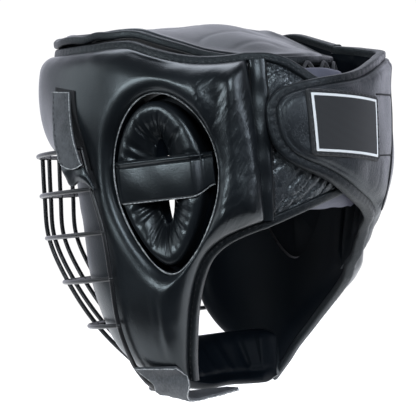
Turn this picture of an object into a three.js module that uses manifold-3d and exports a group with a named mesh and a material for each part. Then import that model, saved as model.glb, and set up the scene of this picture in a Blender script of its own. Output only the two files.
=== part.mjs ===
// Padded head guard with a wire face grille, as worn for stick fighting.
// Millimetres. The face looks along -Y, the wearer's left side is +X, +Z is up.
// The origin is the inside top of the crown, where the head stops.
import * as THREE from "three";
import { mergeVertices } from "three/addons/utils/BufferGeometryUtils.js";
import Module from "manifold-3d";

const wasm = await Module();
wasm.setup();

// Sizes of the padding and the leather
const GAP = 0.35;
const SHELL_THICK = 28;
const SHELL_EDGE_IN = 4;
const EDGE_CURL = 14;
const RIM_STAND = 8;
const REAR_THICK = 12;
const FLAP_THICK = 12.5;
const PANEL_EDGE = 7;
const PANEL_ROLL = 14;
const REAR_INSIDE = 0.2;
const BINDING_WIDTH = 5.5;
const STRAP_THICK = 2.6;
const STRAP_EDGE_THIN = 0.8;
const STRAP_END_DIP = 0.5;
const LABEL_THICK = 1.4;
const CROWN_TOP = 19;
const CROWN_EDGE_THICK = 6;
const CROWN_PAD_IN = 3.6;
const CROWN_PAD_CLEAR = 0.4;
const SEAM_TURN = 139.3;
const BROW_TURN = 52;
const WIRE_RADIUS = 1.6;
const LACE_RADIUS = 1.4;
const MM_PER_DEGREE = 1.75;

// Inner surface of the guard, level by level: half width, reach in front, reach behind
const FORM_POWER = 2.3;
const FORM = [
  { z: -254, half: 60, front: 52, back: 68 },
  { z: -224, half: 68, front: 62, back: 76 },
  { z: -184, half: 75, front: 74, back: 82 },
  { z: -144, half: 79, front: 84, back: 88 },
  { z: -104, half: 81, front: 92, back: 101 },
  { z: -64, half: 81, front: 95, back: 105.5 },
  { z: -24, half: 78, front: 93, back: 108 },
  { z: 16, half: 68, front: 84, back: 116 },
];

// Outlines, given as turn from the front in degrees and height.
// Top rim of the left side, then of the right side, which stands higher at the back.
const TOP_LEFT = [
  { turn: 0, z: 15 },
  { turn: 20, z: 13 },
  { turn: 38, z: 10.5 },
  { turn: 64, z: 8 },
  { turn: 78, z: 7.5 },
  { turn: 90, z: 5.5 },
  { turn: 102, z: -1 },
  { turn: 112, z: -6.5 },
  { turn: 122, z: -10.5 },
  { turn: 132, z: -12 },
  { turn: SEAM_TURN, z: -11.5 },
];
const TOP_RIGHT = [
  { turn: 0, z: 15 },
  { turn: 20, z: 13 },
  { turn: 38, z: 10.5 },
  { turn: 64, z: 8 },
  { turn: 78, z: 6.5 },
  { turn: 95, z: 6 },
  { turn: 108, z: 6.5 },
  { turn: 120, z: 6 },
  { turn: 130, z: 4 },
  { turn: SEAM_TURN, z: 0.5 },
];
// Neck edge of each side, from the rear seam down to the end of the cheek
const NECK_LEFT = [
  { turn: SEAM_TURN, z: -131 },
  { turn: 131, z: -135 },
  { turn: 124, z: -140 },
  { turn: 118, z: -147.5 },
  { turn: 113.5, z: -159 },
  { turn: 109, z: -178 },
  { turn: 105.5, z: -200 },
  { turn: 103, z: -218 },
  { turn: 102, z: -229 },
];
const NECK_RIGHT = [
  { turn: SEAM_TURN, z: -172 },
  { turn: 132, z: -180 },
  { turn: 124, z: -189 },
  { turn: 116, z: -199 },
  { turn: 108, z: -210 },
  { turn: 100, z: -221 },
  { turn: 94, z: -231 },
  { turn: 89, z: -238 },
];
// Face opening: from the cheek's lower end up its front edge to the brow
const FACE_LEFT = [
  { turn: 81, z: -224.5 },
  { turn: 70, z: -216 },
  { turn: 61.5, z: -204 },
  { turn: 56, z: -187 },
  { turn: 53, z: -168 },
  { turn: 52.5, z: -148 },
  { turn: 53.5, z: -124 },
  { turn: 54, z: -102 },
  { turn: BROW_TURN, z: -86 },
];
const FACE_RIGHT = [
  { turn: 81, z: -228 },
  { turn: 68, z: -217 },
  { turn: 57, z: -205 },
  { turn: 50.5, z: -191 },
  { turn: 47, z: -176 },
  { turn: 46.5, z: -158 },
  { turn: 49, z: -136 },
  { turn: 51.5, z: -108 },
  { turn: BROW_TURN, z: -86 },
];
const BROW_EDGE = [
  { turn: 0, z: -62 },
  { turn: 20, z: -62 },
  { turn: 35, z: -64.5 },
  { turn: 46, z: -72 },
  { turn: BROW_TURN, z: -86 },
];
// Ear opening, an egg with the narrow end down, and the slot in its pad
const EAR = { turn: 102, z: -86, ahead: 41.5, above: 54, below: 69, narrow: 0.3 };
const EAR_SLOT = { turn: 99.5, z: -91.5, wide: 7.5, tall: 28.5 };
const EAR_AIM = { turn: 102, z: -60 };
const EAR_RIM = 19;
const EAR_STEPS = 120;
const EAR_PAD_CLEAR = 0.95;
const EAR_PAD_STEPS = 30;
const EAR_PAD_SECTION = [
  { across: 0, out: 2.5 },
  { across: 0, out: 12.5 },
  { across: 0.1, out: 18 },
  { across: 0.27, out: 20.5 },
  { across: 0.48, out: 18.5 },
  { across: 0.76, out: 11 },
  { across: 1, out: 6.5 },
  { across: 1, out: 2.5 },
];
const EAR_STRAP = { from: 82, to: 123.4, top: -75.5, bottom: -104.5, out: 21.2 };

// Tongues that close the back of the head
const REAR_TOP = [
  { turn: SEAM_TURN, z: -11.5 },
  { turn: 146, z: -13 },
  { turn: 151, z: -17 },
  { turn: 156, z: -24 },
  { turn: 161, z: -31 },
  { turn: 175, z: -40 },
  { turn: 190, z: -46 },
  { turn: 197, z: -54 },
  { turn: 200, z: -64 },
];
const REAR_BOTTOM = [
  { turn: SEAM_TURN, z: -131 },
  { turn: 145, z: -128 },
  { turn: 151, z: -124.5 },
  { turn: 160, z: -119.5 },
  { turn: 168, z: -115.5 },
  { turn: 178, z: -111 },
  { turn: 190, z: -105 },
  { turn: 197, z: -95 },
  { turn: 200, z: -84 },
];
const FLAP_TOP = [
  { turn: 143, z: -51 },
  { turn: 144.2, z: -44 },
  { turn: 147, z: -38 },
  { turn: 151.5, z: -34 },
  { turn: 159, z: -31.5 },
  { turn: 174, z: -27 },
  { turn: 181, z: -23 },
  { turn: 188, z: -16.5 },
  { turn: 198, z: -11 },
  { turn: 210, z: -5 },
  { turn: 360 - SEAM_TURN, z: 0.5 },
];
const FLAP_BOTTOM = [
  { turn: 143, z: -66 },
  { turn: 144.2, z: -76 },
  { turn: 147, z: -85 },
  { turn: 151.5, z: -92 },
  { turn: 159, z: -99.5 },
  { turn: 174, z: -118 },
  { turn: 188, z: -133 },
  { turn: 200, z: -147 },
  { turn: 211, z: -161 },
  { turn: 360 - SEAM_TURN, z: -172 },
];
// How far the flap stands off as it comes round over the other tongue
const FLAP_INSIDE = [
  { turn: 143, out: REAR_THICK + 1 },
  { turn: 202, out: REAR_THICK + 1 },
  { turn: 206, out: REAR_THICK - 1.5 },
  { turn: 213, out: 3 },
  { turn: 360 - SEAM_TURN, out: 1 },
];
const LABEL = { turn: 167.7, z: -66, wide: 62, tall: 43, lean: -0.118, perDegree: 2.3 };

// Crown edge: height above which its binding stands, and how far out it runs
const CROWN_LEFT = [
  { turn: 0, z: 15.9, out: 16 },
  { turn: 38, z: 11.5, out: 16 },
  { turn: 64, z: 9, out: 15 },
  { turn: 78, z: 8.5, out: 13 },
  { turn: 90, z: 6.6, out: 10 },
  { turn: 102, z: 0.2, out: 5.5 },
  { turn: 112, z: -5.6, out: 1.5 },
  { turn: 124, z: -13, out: -3 },
  { turn: 140, z: -19, out: -9 },
  { turn: 160, z: -21, out: -15 },
  { turn: 180, z: -21, out: -17 },
];
const CROWN_RIGHT = [
  { turn: 0, z: 15.9, out: 16 },
  { turn: 38, z: 11.5, out: 16 },
  { turn: 64, z: 9, out: 15 },
  { turn: 78, z: 7.6, out: 13 },
  { turn: 90, z: 7.2, out: 10 },
  { turn: 102, z: 7.2, out: 4 },
  { turn: 112, z: 4, out: -3.2 },
  { turn: 124, z: -5, out: -6 },
  { turn: 140, z: -16, out: -10 },
  { turn: 160, z: -20.5, out: -15 },
  { turn: 180, z: -21, out: -17 },
];
const CROWN_MIDDLE_Y = -15;
// How steeply the dome falls to its edge, outside and inside
const CROWN_FALL = 1.9;
const CROWN_FALL_UNDER = 2.3;
const CROWN_BINDING = { inner: -3.2, shoulder: 1.5, outer: 3, low: 0.2, round: 1.8 };
// Cord that zigzags below the crown's rear edge: how far its turns hang, rise and stand out
const LACE = { from: 149, to: 203, turns: 8, hang: 8, rise: 1, outLow: 5.4, outHigh: 3.4 };

// Face grille, level by level: half width, how far its front reaches, where its sides end
const GRILLE = [
  { z: -233, half: 70, front: -40, side: -22 },
  { z: -226, half: 82, front: -45, side: -21.5 },
  { z: -212, half: 95, front: -62, side: -22 },
  { z: -186, half: 104.4, front: -87, side: -24 },
  { z: -154, half: 108, front: -109, side: -24 },
  { z: -122, half: 109.4, front: -122.5, side: -25.5 },
  { z: -92, half: 109, front: -122, side: -32 },
  { z: -64, half: 107.6, front: -120, side: -38 },
];
const GRILLE_TOP = -64;
const GRILLE_BOTTOM = -233;
const HOOP_LEVELS = [-92, -122, -154, -186];
const BAR_OFFSETS = [-52, -36, -18, 0, 18, 36, 52];
const BAR_LEVEL = -107;
const WIRE_SIDES = 6;
const WIRE_PLACES = 14;
const CORNER_WELD = 1.25;
const WELD_SIMPLIFY = 0.15;

// Chin band, level by level: half width and how far its front reaches
const CHIN = [
  { z: -241, half: 62, front: -23 },
  { z: -226, half: 66.5, front: -35 },
  { z: -204, half: 70.2, front: -50 },
];
const CHIN_SIDE = -2;
const CHIN_THICK = 11;
const CHIN_EDGE_THICK = 4;
const CHIN_ROLL = 0.25;
const CHIN_SWEEP = 92;
const CHIN_STEPS = 15;
const CHIN_ROWS = [0, 0.08, 0.3, 0.7, 0.92, 1];

const LEATHER = { color: 0x17181b, roughness: 0.42 };
const BLACK_COATED = { color: 0x101012, roughness: 0.35 };

// A smooth value through the rows of a table
function along(table, key, x, name) {
  const last = table.length - 1;
  const at = Math.min(Math.max(x, table[0][key]), table[last][key]);
  let i = 0;
  while (i < last - 1 && table[i + 1][key] < at) i += 1;
  const slope = (k) => {
    const a = table[Math.max(k - 1, 0)];
    const b = table[Math.min(k + 1, last)];
    return (b[name] - a[name]) / (b[key] - a[key]);
  };
  const h = table[i + 1][key] - table[i][key];
  const s = (at - table[i][key]) / h;
  const r = 1 - s;
  const ends = (1 + 2 * s) * r * r * table[i][name] + s * s * (3 - 2 * s) * table[i + 1][name];
  return ends + h * (s * r * r * slope(i) - s * s * r * slope(i + 1));
}

// A point at a turn from the front, a height, and a distance out from the inner surface
function form(turn, z, out) {
  const a = along(FORM, "z", z, "half");
  const angle = (turn * Math.PI) / 180;
  const sx = Math.sin(angle);
  const cy = Math.cos(angle);
  const b = along(FORM, "z", z, cy >= 0 ? "front" : "back");
  const r = (Math.abs(sx / a) ** FORM_POWER + Math.abs(cy / b) ** FORM_POWER) ** (-1 / FORM_POWER);
  const x = r * sx;
  const y = -r * cy;
  const nx = (Math.sign(x) * Math.abs(x / a) ** (FORM_POWER - 1)) / a;
  const ny = (Math.sign(y) * Math.abs(y / b) ** (FORM_POWER - 1)) / b;
  const n = Math.hypot(nx, ny);
  return new THREE.Vector3(x + (nx / n) * out, y + (ny / n) * out, z);
}

function spread(from, to, count) {
  return Array.from({ length: count + 1 }, (_, i) => from + ((to - from) * i) / count);
}

// Evenly spaced points along a smooth outline in the turn and height chart
function trace(table, count) {
  const points = table.map((p) => new THREE.Vector3(p.turn * MM_PER_DEGREE, p.z, 0));
  const curve = new THREE.CatmullRomCurve3(points, false, "centripetal");
  return curve.getSpacedPoints(count).map((p) => ({ turn: p.x / MM_PER_DEGREE, z: p.y }));
}

// The same outline moved sideways in the chart: positive is to the left of travel
function shifted(points, distance) {
  return points.map((p, i) => {
    const a = points[Math.max(i - 1, 0)];
    const b = points[Math.min(i + 1, points.length - 1)];
    const du = (b.turn - a.turn) * MM_PER_DEGREE;
    const dz = b.z - a.z;
    const n = Math.hypot(du, dz);
    return { turn: p.turn - ((dz / n) * distance) / MM_PER_DEGREE, z: p.z + (du / n) * distance };
  });
}

// How far a place in the chart is from an outline
function chartDistance(p, points) {
  let best = Infinity;
  for (let i = 0; i < points.length - 1; i += 1) {
    const a = points[i];
    const b = points[i + 1];
    const ux = (b.turn - a.turn) * MM_PER_DEGREE;
    const uz = b.z - a.z;
    const px = (p.turn - a.turn) * MM_PER_DEGREE;
    const pz = p.z - a.z;
    const s = Math.min(Math.max((px * ux + pz * uz) / (ux * ux + uz * uz), 0), 1);
    best = Math.min(best, Math.hypot(px - s * ux, pz - s * uz));
  }
  return best;
}

function mesh(name, positions, triangles, look) {
  const geometry = new THREE.BufferGeometry();
  geometry.setAttribute("position", new THREE.Float32BufferAttribute(positions, 3));
  geometry.setIndex(triangles);
  const merged = mergeVertices(geometry, 1e-4);
  faceOut(merged);
  merged.computeVertexNormals();
  const made = new THREE.Mesh(merged, new THREE.MeshStandardMaterial(look));
  made.name = name;
  return made;
}

// Turns every face round when the closed surface faces inwards
function faceOut(geometry) {
  const p = geometry.attributes.position;
  const index = geometry.index;
  const corner = (k) => new THREE.Vector3().fromBufferAttribute(p, index.getX(k));
  let volume = 0;
  for (let k = 0; k < index.count; k += 3) {
    volume += corner(k).dot(corner(k + 1).cross(corner(k + 2)));
  }
  if (volume > 0) return;
  for (let k = 0; k < index.count; k += 3) {
    const a = index.getX(k + 1);
    index.setX(k + 1, index.getX(k + 2));
    index.setX(k + 2, a);
  }
}

// A solid through a row of closed sections, capped at both ends or joined in a ring
function lofted(sections, ring) {
  const positions = [];
  const triangles = [];
  const n = sections[0].length;
  for (const section of sections) {
    for (const p of section) positions.push(p.x, p.y, p.z);
  }
  const rows = ring ? sections.length : sections.length - 1;
  for (let i = 0; i < rows; i += 1) {
    const k = ((i + 1) % sections.length) * n;
    for (let j = 0; j < n; j += 1) {
      const a = i * n + j;
      const b = i * n + ((j + 1) % n);
      const c = k + ((j + 1) % n);
      const d = k + j;
      triangles.push(a, b, c, a, c, d);
    }
  }
  if (!ring) {
    const end = (sections.length - 1) * n;
    for (const [a, b, c] of cap(sections[0])) triangles.push(a, c, b);
    for (const [a, b, c] of cap(sections[sections.length - 1])) triangles.push(end + a, end + b, end + c);
  }
  return { positions, triangles };
}

// Triangles that fill one section, each running the same way round as the section
function cap(section) {
  const normal = new THREE.Vector3();
  section.forEach((p, i) => normal.add(p.clone().cross(section[(i + 1) % section.length])));
  normal.normalize();
  const u = section[1].clone().sub(section[0]);
  u.addScaledVector(normal, -u.dot(normal)).normalize();
  const v = new THREE.Vector3().crossVectors(normal, u);
  const flat = section.map((p) => new THREE.Vector2(p.dot(u), p.dot(v)));
  const area = (a, b, c) => (b.x - a.x) * (c.y - a.y) - (b.y - a.y) * (c.x - a.x);
  const faces = THREE.ShapeUtils.triangulateShape(flat, []);
  return faces.map(([a, b, c]) => (area(flat[a], flat[b], flat[c]) > 0 ? [a, b, c] : [a, c, b]));
}

function piece(name, sections, look, ring = false) {
  const { positions, triangles } = lofted(sections, ring);
  return mesh(name, positions, triangles, look);
}

// Padded shell

function earPoint(angle, inset) {
  const s = Math.sin(angle);
  const c = Math.cos(angle);
  const up = s > 0 ? EAR.above : EAR.below;
  const waist = 1 - EAR.narrow * Math.max(-s, 0) ** 2;
  const u = (EAR.ahead - inset) * c * waist;
  return { turn: EAR.turn + u / MM_PER_DEGREE, z: EAR.z + (up - inset) * s };
}

const EAR_LOOP = spread(0, 2 * Math.PI, EAR_STEPS).map((angle) => earPoint(angle, 0));

// The place on the ear opening that lies the same way from its middle as p does
function earReach(p) {
  const aim = (q) => Math.atan2(q.z - EAR_AIM.z, (q.turn - EAR_AIM.turn) * MM_PER_DEGREE);
  const miss = (q) => {
    const turned = Math.abs(aim(q) - aim(p));
    return Math.min(turned, 2 * Math.PI - turned);
  };
  return EAR_LOOP.reduce((best, q) => (miss(q) < miss(best) ? q : best));
}

const OUTLINE_STEPS = { rim: 90, seam: 30, nape: 60, face: 90, brow: 60 };

function halfOutline(top, neck, cheek) {
  const rim = shifted(trace(top, OUTLINE_STEPS.rim), -BINDING_WIDTH);
  const nape = shifted(trace(neck, OUTLINE_STEPS.nape), -BINDING_WIDTH);
  rim[0].turn = 0;
  rim[rim.length - 1].turn = SEAM_TURN;
  nape[0].turn = SEAM_TURN;
  const tip = nape[nape.length - 1];
  const face = trace([tip, ...cheek], OUTLINE_STEPS.face);
  const brow = trace([...BROW_EDGE].reverse(), OUTLINE_STEPS.brow);
  const seam = trace([rim[rim.length - 1], nape[0]], OUTLINE_STEPS.seam);
  return { rim, seam, nape, face, brow };
}

// The rim stands well out over the forehead and draws in towards the rear seam
const RIM_DRAWS_IN = { from: 98, to: 134 };

function rimStand(turn) {
  const s = Math.min(Math.max((RIM_DRAWS_IN.to - turn) / (RIM_DRAWS_IN.to - RIM_DRAWS_IN.from), 0), 1);
  return RIM_STAND * s * s * (3 - 2 * s);
}

// How far in from each edge the padding is full, and its height at the edge
const EDGE_ROLLS = {
  rim: { roll: 18, edge: 12 },
  seam: { roll: 15, edge: 12.5 },
  nape: { roll: 16, edge: 11 },
  face: { roll: 34, edge: 12 },
  brow: { roll: 34, edge: 12 },
  ear: { roll: 13, edge: EAR_RIM },
};

// Outer height of the padding: full in the middle, rolling down to each edge
function padding(outline) {
  const lines = Object.entries({ ...outline, ear: EAR_LOOP });
  return (p) => {
    let out = SHELL_THICK;
    let inside = 0;
    for (const [name, line] of lines) {
      const { roll, edge } = EDGE_ROLLS[name];
      const d = chartDistance(p, line);
      const s = 1 - Math.min(d / roll, 1);
      const stand = name === "rim" ? rimStand(p.turn) : 0;
      const low = edge + stand;
      out = Math.min(out, low + (SHELL_THICK - low) * Math.sqrt(1 - s * s));
      const curl = name === "ear" ? 0 : SHELL_EDGE_IN + stand;
      inside = Math.max(inside, curl * Math.max(1 - d / EDGE_CURL, 0) ** 2);
    }
    return { out, inside };
  };
}

const OUTLINES = {
  1: halfOutline(TOP_LEFT, NECK_LEFT, FACE_LEFT),
  "-1": halfOutline(TOP_RIGHT, NECK_RIGHT, FACE_RIGHT),
};
const PADDING = { 1: padding(OUTLINES[1]), "-1": padding(OUTLINES[-1]) };

function everyPoint(points, count) {
  return Array.from({ length: count + 1 }, (_, i) => points[Math.round((i * (points.length - 1)) / count)]);
}

const BROW_ROWS = [0, 0.06, 0.2, 0.45, 0.72, 0.9, 0.97, 1];
const BROW_COLUMNS = [0, 9, 18, 27, 36, 43, 48, BROW_TURN];
const EAR_RINGS = [0, 0.08, 0.27, 0.56, 0.83, 0.96, 1];
const CORNERS = { rim: 10, seam: 5, nape: 11, face: 11 };
const BROW_CLEAR = 4;

function browPoint(outline, turn, v) {
  const low = along(BROW_EDGE, "turn", turn, "z");
  const rim = outline.rim;
  let k = 0;
  while (k < rim.length - 2 && rim[k + 1].turn < turn) k += 1;
  const s = (turn - rim[k].turn) / (rim[k + 1].turn - rim[k].turn);
  const high = rim[k].z + (rim[k + 1].z - rim[k].z) * Math.min(Math.max(s, 0), 1);
  return { turn, z: low + (high - low) * v };
}

// Corners of the shell's rim and nape, shared with the bindings that stand on them
function rimCorners(outline) {
  const front = BROW_COLUMNS.map((turn) => browPoint(outline, turn, 1));
  const side = outline.rim.filter((p) => p.turn > BROW_TURN + BROW_CLEAR);
  return [...front.slice(0, -1), ...everyPoint([front[front.length - 1], ...side], CORNERS.rim)];
}

function napeCorners(outline) {
  return everyPoint(outline.nape, CORNERS.nape);
}

function shellHalf(side, positions, triangles) {
  const outline = OUTLINES[side];
  const pad = PADDING[side];
  const put = (p, inner) => {
    const { out, inside } = pad(p);
    const q = form(side * p.turn, p.z, inner ? inside : out);
    positions.push(q.x, q.y, q.z);
    return positions.length / 3 - 1;
  };
  let way = side;
  const quad = (a, b, c, d) => {
    if (way > 0) triangles.push(a, b, c, a, c, d);
    else triangles.push(a, c, b, a, d, c);
  };
  const sheets = (rows) => [false, true].map((inner) => rows.map((row) => row.map((p) => put(p, inner))));
  const skin = ([outer, inner], ring) => {
    for (let i = 0; i < outer.length - 1; i += 1) {
      const n = outer[i].length;
      for (let j = 0; j < (ring ? n : n - 1); j += 1) {
        const k = (j + 1) % n;
        quad(outer[i][j], outer[i][k], outer[i + 1][k], outer[i + 1][j]);
        quad(inner[i][j], inner[i + 1][j], inner[i + 1][k], inner[i][k]);
      }
    }
  };
  // Forehead, from the brow to the rim
  const front = sheets(BROW_COLUMNS.map((turn) => BROW_ROWS.map((v) => browPoint(outline, turn, v))));
  skin(front, false);
  const [fo, fi] = front;
  for (let i = 0; i < fo.length - 1; i += 1) {
    const top = BROW_ROWS.length - 1;
    quad(fo[i][top], fi[i][top], fi[i + 1][top], fo[i + 1][top]);
    quad(fo[i][0], fo[i + 1][0], fi[i + 1][0], fi[i][0]);
  }
  // Side, in rings from the ear opening to the outline
  const loop = [
    ...rimCorners(outline).slice(BROW_COLUMNS.length - 1, -1),
    ...everyPoint(outline.seam, CORNERS.seam).slice(0, -1),
    ...napeCorners(outline).slice(0, -1),
    ...everyPoint(outline.face, CORNERS.face).slice(0, -1),
    ...BROW_ROWS.slice(0, -1).map((v) => browPoint(outline, BROW_TURN, v)),
  ];
  const shared = loop.length - (BROW_ROWS.length - 1);
  const inner = loop.map(earReach);
  const rings = EAR_RINGS.map((f) =>
    loop.map((p, j) => ({
      turn: inner[j].turn + (p.turn - inner[j].turn) * f,
      z: inner[j].z + (p.z - inner[j].z) * f,
    })),
  );
  rings[rings.length - 1] = loop;
  const around = sheets(rings);
  way = -side;
  skin(around, true);
  const [so, si] = around;
  const last = rings.length - 1;
  for (let j = 0; j < loop.length; j += 1) {
    const k = (j + 1) % loop.length;
    quad(so[0][k], so[0][j], si[0][j], si[0][k]);
    if (j < shared) quad(so[last][j], so[last][k], si[last][k], si[last][j]);
  }
}

function paddedShell() {
  const positions = [];
  const triangles = [];
  shellHalf(1, positions, triangles);
  shellHalf(-1, positions, triangles);
  return mesh("padded_shell", positions, triangles, LEATHER);
}

// Ear pads and the bands across them

function earPad(side, name) {
  const sections = [];
  for (let i = 0; i < EAR_PAD_STEPS; i += 1) {
    const angle = (i / EAR_PAD_STEPS) * 2 * Math.PI;
    const outer = earPoint(angle, EAR_PAD_CLEAR);
    const slot = {
      turn: EAR_SLOT.turn + (EAR_SLOT.wide * Math.cos(angle)) / MM_PER_DEGREE,
      z: EAR_SLOT.z + EAR_SLOT.tall * Math.sin(angle),
    };
    sections.push(
      EAR_PAD_SECTION.map((s) => {
        const turn = outer.turn + (slot.turn - outer.turn) * s.across;
        const z = outer.z + (slot.z - outer.z) * s.across;
        return form(side * turn, z, s.out);
      }),
    );
  }
  return piece(name, sections, LEATHER, true);
}

// A band laid over the surface: a row of places across its width, carried along its length
function band(name, places) {
  const sections = places.map((row) => {
    const under = row.map((p) => p.at(p.out));
    const over = row.map((p) => p.at(p.out + p.thick)).reverse();
    return [...under, ...over];
  });
  return piece(name, sections, LEATHER);
}

const STRAP_STEPS = 8;
const STRAP_ROWS = [0, 0.12, 0.5, 0.88, 1];

function earStrap(side, name) {
  const places = spread(EAR_STRAP.from, EAR_STRAP.to, STRAP_STEPS).map((turn, i) => {
    const dip = i % STRAP_STEPS === 0 ? STRAP_END_DIP : 0;
    return STRAP_ROWS.map((v) => ({
      out: EAR_STRAP.out - dip,
      thick: STRAP_THICK - (v % 1 === 0 ? STRAP_EDGE_THIN : 0),
      at: (out) => form(side * turn, EAR_STRAP.bottom + (EAR_STRAP.top - EAR_STRAP.bottom) * v, out),
    }));
  });
  return band(name, places);
}

// Tongues at the back

const TONGUE_ROWS = [0, 0.04, 0.14, 0.34, 0.66, 0.86, 0.96, 1];
const TONGUE_INNER_ROWS = [1, 0.66, 0.34, 0];

function tongue(name, turns, low, high, inside, thick) {
  const sections = turns.map((turn) => {
    const a = low(turn);
    const b = high(turn);
    const lift = inside(turn);
    const outer = TONGUE_ROWS.map((v) => {
      const d = Math.min(v, 1 - v) * (b - a);
      const s = 1 - Math.min(d / PANEL_ROLL, 1);
      const t = PANEL_EDGE + (thick - PANEL_EDGE) * Math.sqrt(1 - s * s);
      return form(turn, a + (b - a) * v, lift + t);
    });
    const inner = TONGUE_INNER_ROWS.map((v) => form(turn, a + (b - a) * v, lift));
    return [...outer, ...inner];
  });
  return piece(name, sections, LEATHER);
}

const EDGE_CLEAR = 0.1;
const EDGE = BINDING_WIDTH + EDGE_CLEAR;

const REAR_TURNS = spread(SEAM_TURN + 0.35, 199.2, 18);
const FLAP_TURNS = [146.2, 147.2, 149, ...spread(152, 360 - SEAM_TURN - 0.42, 17)];
const rearLow = (t) => along(REAR_BOTTOM, "turn", t, "z") + EDGE;
const rearHigh = (t) => along(REAR_TOP, "turn", t, "z") - EDGE;
const flapLow = (t) => along(FLAP_BOTTOM, "turn", t, "z") + EDGE;
const flapHigh = (t) => along(FLAP_TOP, "turn", t, "z") - EDGE;
const flapInside = (t) => along(FLAP_INSIDE, "turn", t, "out");

function rearPanel() {
  return tongue("rear_panel_left", REAR_TURNS, rearLow, rearHigh, () => REAR_INSIDE, REAR_THICK);
}

function backFlap() {
  return tongue("back_flap", FLAP_TURNS, flapLow, flapHigh, flapInside, FLAP_THICK);
}

const LABEL_COLUMNS = 8;

function labelPatch() {
  const places = spread(-LABEL.wide / 2, LABEL.wide / 2, LABEL_COLUMNS).map((across) => {
    const turn = LABEL.turn + across / LABEL.perDegree;
    const middle = LABEL.z + across * LABEL.lean;
    return [-0.5, 0, 0.5].map((v) => ({
      out: flapInside(turn) + FLAP_THICK + GAP,
      thick: LABEL_THICK,
      at: (out) => form(turn, middle + v * LABEL.tall, out),
    }));
  });
  return band("label_patch", places);
}

// Bound edges: a rounded strip that stands along the edge of a padded piece,
// with the distance out of its two faces
const BOUND = {
  top: { inner: 3.6, outer: 11.6 },
  left: { inner: 2.6, outer: 10.4 },
  right: { inner: 3.2, outer: 10.8 },
  flap: { inner: 0, outer: 7.6 },
};
const BOUND_SHOULDER = 0.65;
const BOUND_FACE = 0.45;

function binding(name, points, side, { inner, outer }) {
  const sections = points.map((p, i) => {
    const a = points[Math.max(i - 1, 0)];
    const b = points[Math.min(i + 1, points.length - 1)];
    const du = (b.turn - a.turn) * MM_PER_DEGREE;
    const dz = b.z - a.z;
    const length = Math.hypot(du, dz) * side;
    const lift = p.lift ?? 0;
    const place = (w, out) =>
      form(p.turn - ((dz / length) * w) / MM_PER_DEGREE, p.z + (du / length) * w, out + lift);
    const mid = (inner + outer) / 2;
    const half = (outer - inner) / 2;
    return [
      place(GAP, mid - half),
      place(GAP, mid + half),
      place(BINDING_WIDTH * BOUND_SHOULDER, mid + half),
      place(BINDING_WIDTH, mid + half * BOUND_FACE),
      place(BINDING_WIDTH, mid - half * BOUND_FACE),
      place(BINDING_WIDTH * BOUND_SHOULDER, mid - half),
    ];
  });
  return piece(name, sections, LEATHER);
}

function mirrored(points) {
  return points.map((p) => ({ ...p, turn: -p.turn }));
}

const BOUND_REAR = 16;

function topBinding() {
  const rear = REAR_TURNS.slice(1, BOUND_REAR).map((turn) => ({ turn, z: rearHigh(turn) }));
  const standing = (points) => points.map((p) => ({ ...p, lift: rimStand(p.turn) }));
  const left = standing(rimCorners(OUTLINES[1])).reverse();
  const right = mirrored(standing(rimCorners(OUTLINES[-1])));
  return binding("top_binding", [...rear.reverse(), ...left, ...right.slice(1)], -1, BOUND.top);
}

function neckBindingLeft() {
  const rear = REAR_TURNS.slice(1, BOUND_REAR).map((turn) => ({ turn, z: rearLow(turn) }));
  const nape = napeCorners(OUTLINES[1]);
  return binding("neck_binding_left", [...rear.reverse(), ...nape], 1, BOUND.left);
}

function neckBindingRight() {
  return binding("neck_binding_right", mirrored(napeCorners(OUTLINES[-1])), -1, BOUND.right);
}

function flapBinding() {
  const turns = [...FLAP_TURNS].reverse();
  const edge = (at) => turns.map((turn) => ({ turn, z: at(turn), lift: flapInside(turn) }));
  return binding("flap_binding", [...edge(flapHigh), ...edge(flapLow).reverse()], -1, BOUND.flap);
}

// Crown

function crownEdge(turn) {
  const signed = ((turn + 540) % 360) - 180;
  const table = signed > 0 ? CROWN_LEFT : CROWN_RIGHT;
  const t = Math.abs(signed);
  return { z: along(table, "turn", t, "z"), out: along(table, "turn", t, "out") };
}

function crownPoint(turn, f, under) {
  const edge = crownEdge(turn);
  const rim = form(turn, edge.z, edge.out - CROWN_PAD_IN);
  const low = edge.z + (under ? CROWN_PAD_CLEAR : CROWN_EDGE_THICK - CROWN_PAD_CLEAR);
  const high = under ? 0 : CROWN_TOP;
  const rise = 1 - f ** (under ? CROWN_FALL_UNDER : CROWN_FALL);
  const y = CROWN_MIDDLE_Y + (rim.y - CROWN_MIDDLE_Y) * f;
  return new THREE.Vector3(rim.x * f, y, low + (high - low) * rise);
}

const CROWN_TURNS = 40;
const CROWN_RINGS = [1, 0.88, 0.65, 0.36];

function crownPad() {
  const count = CROWN_TURNS;
  const rings = CROWN_RINGS;
  const positions = [];
  const triangles = [];
  for (const under of [false, true]) {
    const start = positions.length / 3;
    for (const f of rings) {
      for (let i = 0; i < count; i += 1) {
        const p = crownPoint((i / count) * 360, f, under);
        positions.push(p.x, p.y, p.z);
      }
    }
    const top = crownPoint(0, 0, under);
    positions.push(top.x, top.y, top.z);
    const apex = positions.length / 3 - 1;
    const face = (a, b, c) => (under ? triangles.push(a, c, b) : triangles.push(a, b, c));
    for (let i = 0; i < count; i += 1) {
      const k = (i + 1) % count;
      for (let r = 0; r < rings.length - 1; r += 1) {
        const a = start + r * count;
        face(a + i, a + k, a + count + k);
        face(a + i, a + count + k, a + count + i);
      }
      const a = start + (rings.length - 1) * count;
      face(a + i, a + k, apex);
    }
  }
  const under = rings.length * count + 1;
  for (let i = 0; i < count; i += 1) {
    const k = (i + 1) % count;
    triangles.push(i, under + i, under + k, i, under + k, k);
  }
  return mesh("crown_pad", positions, triangles, LEATHER);
}

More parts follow.
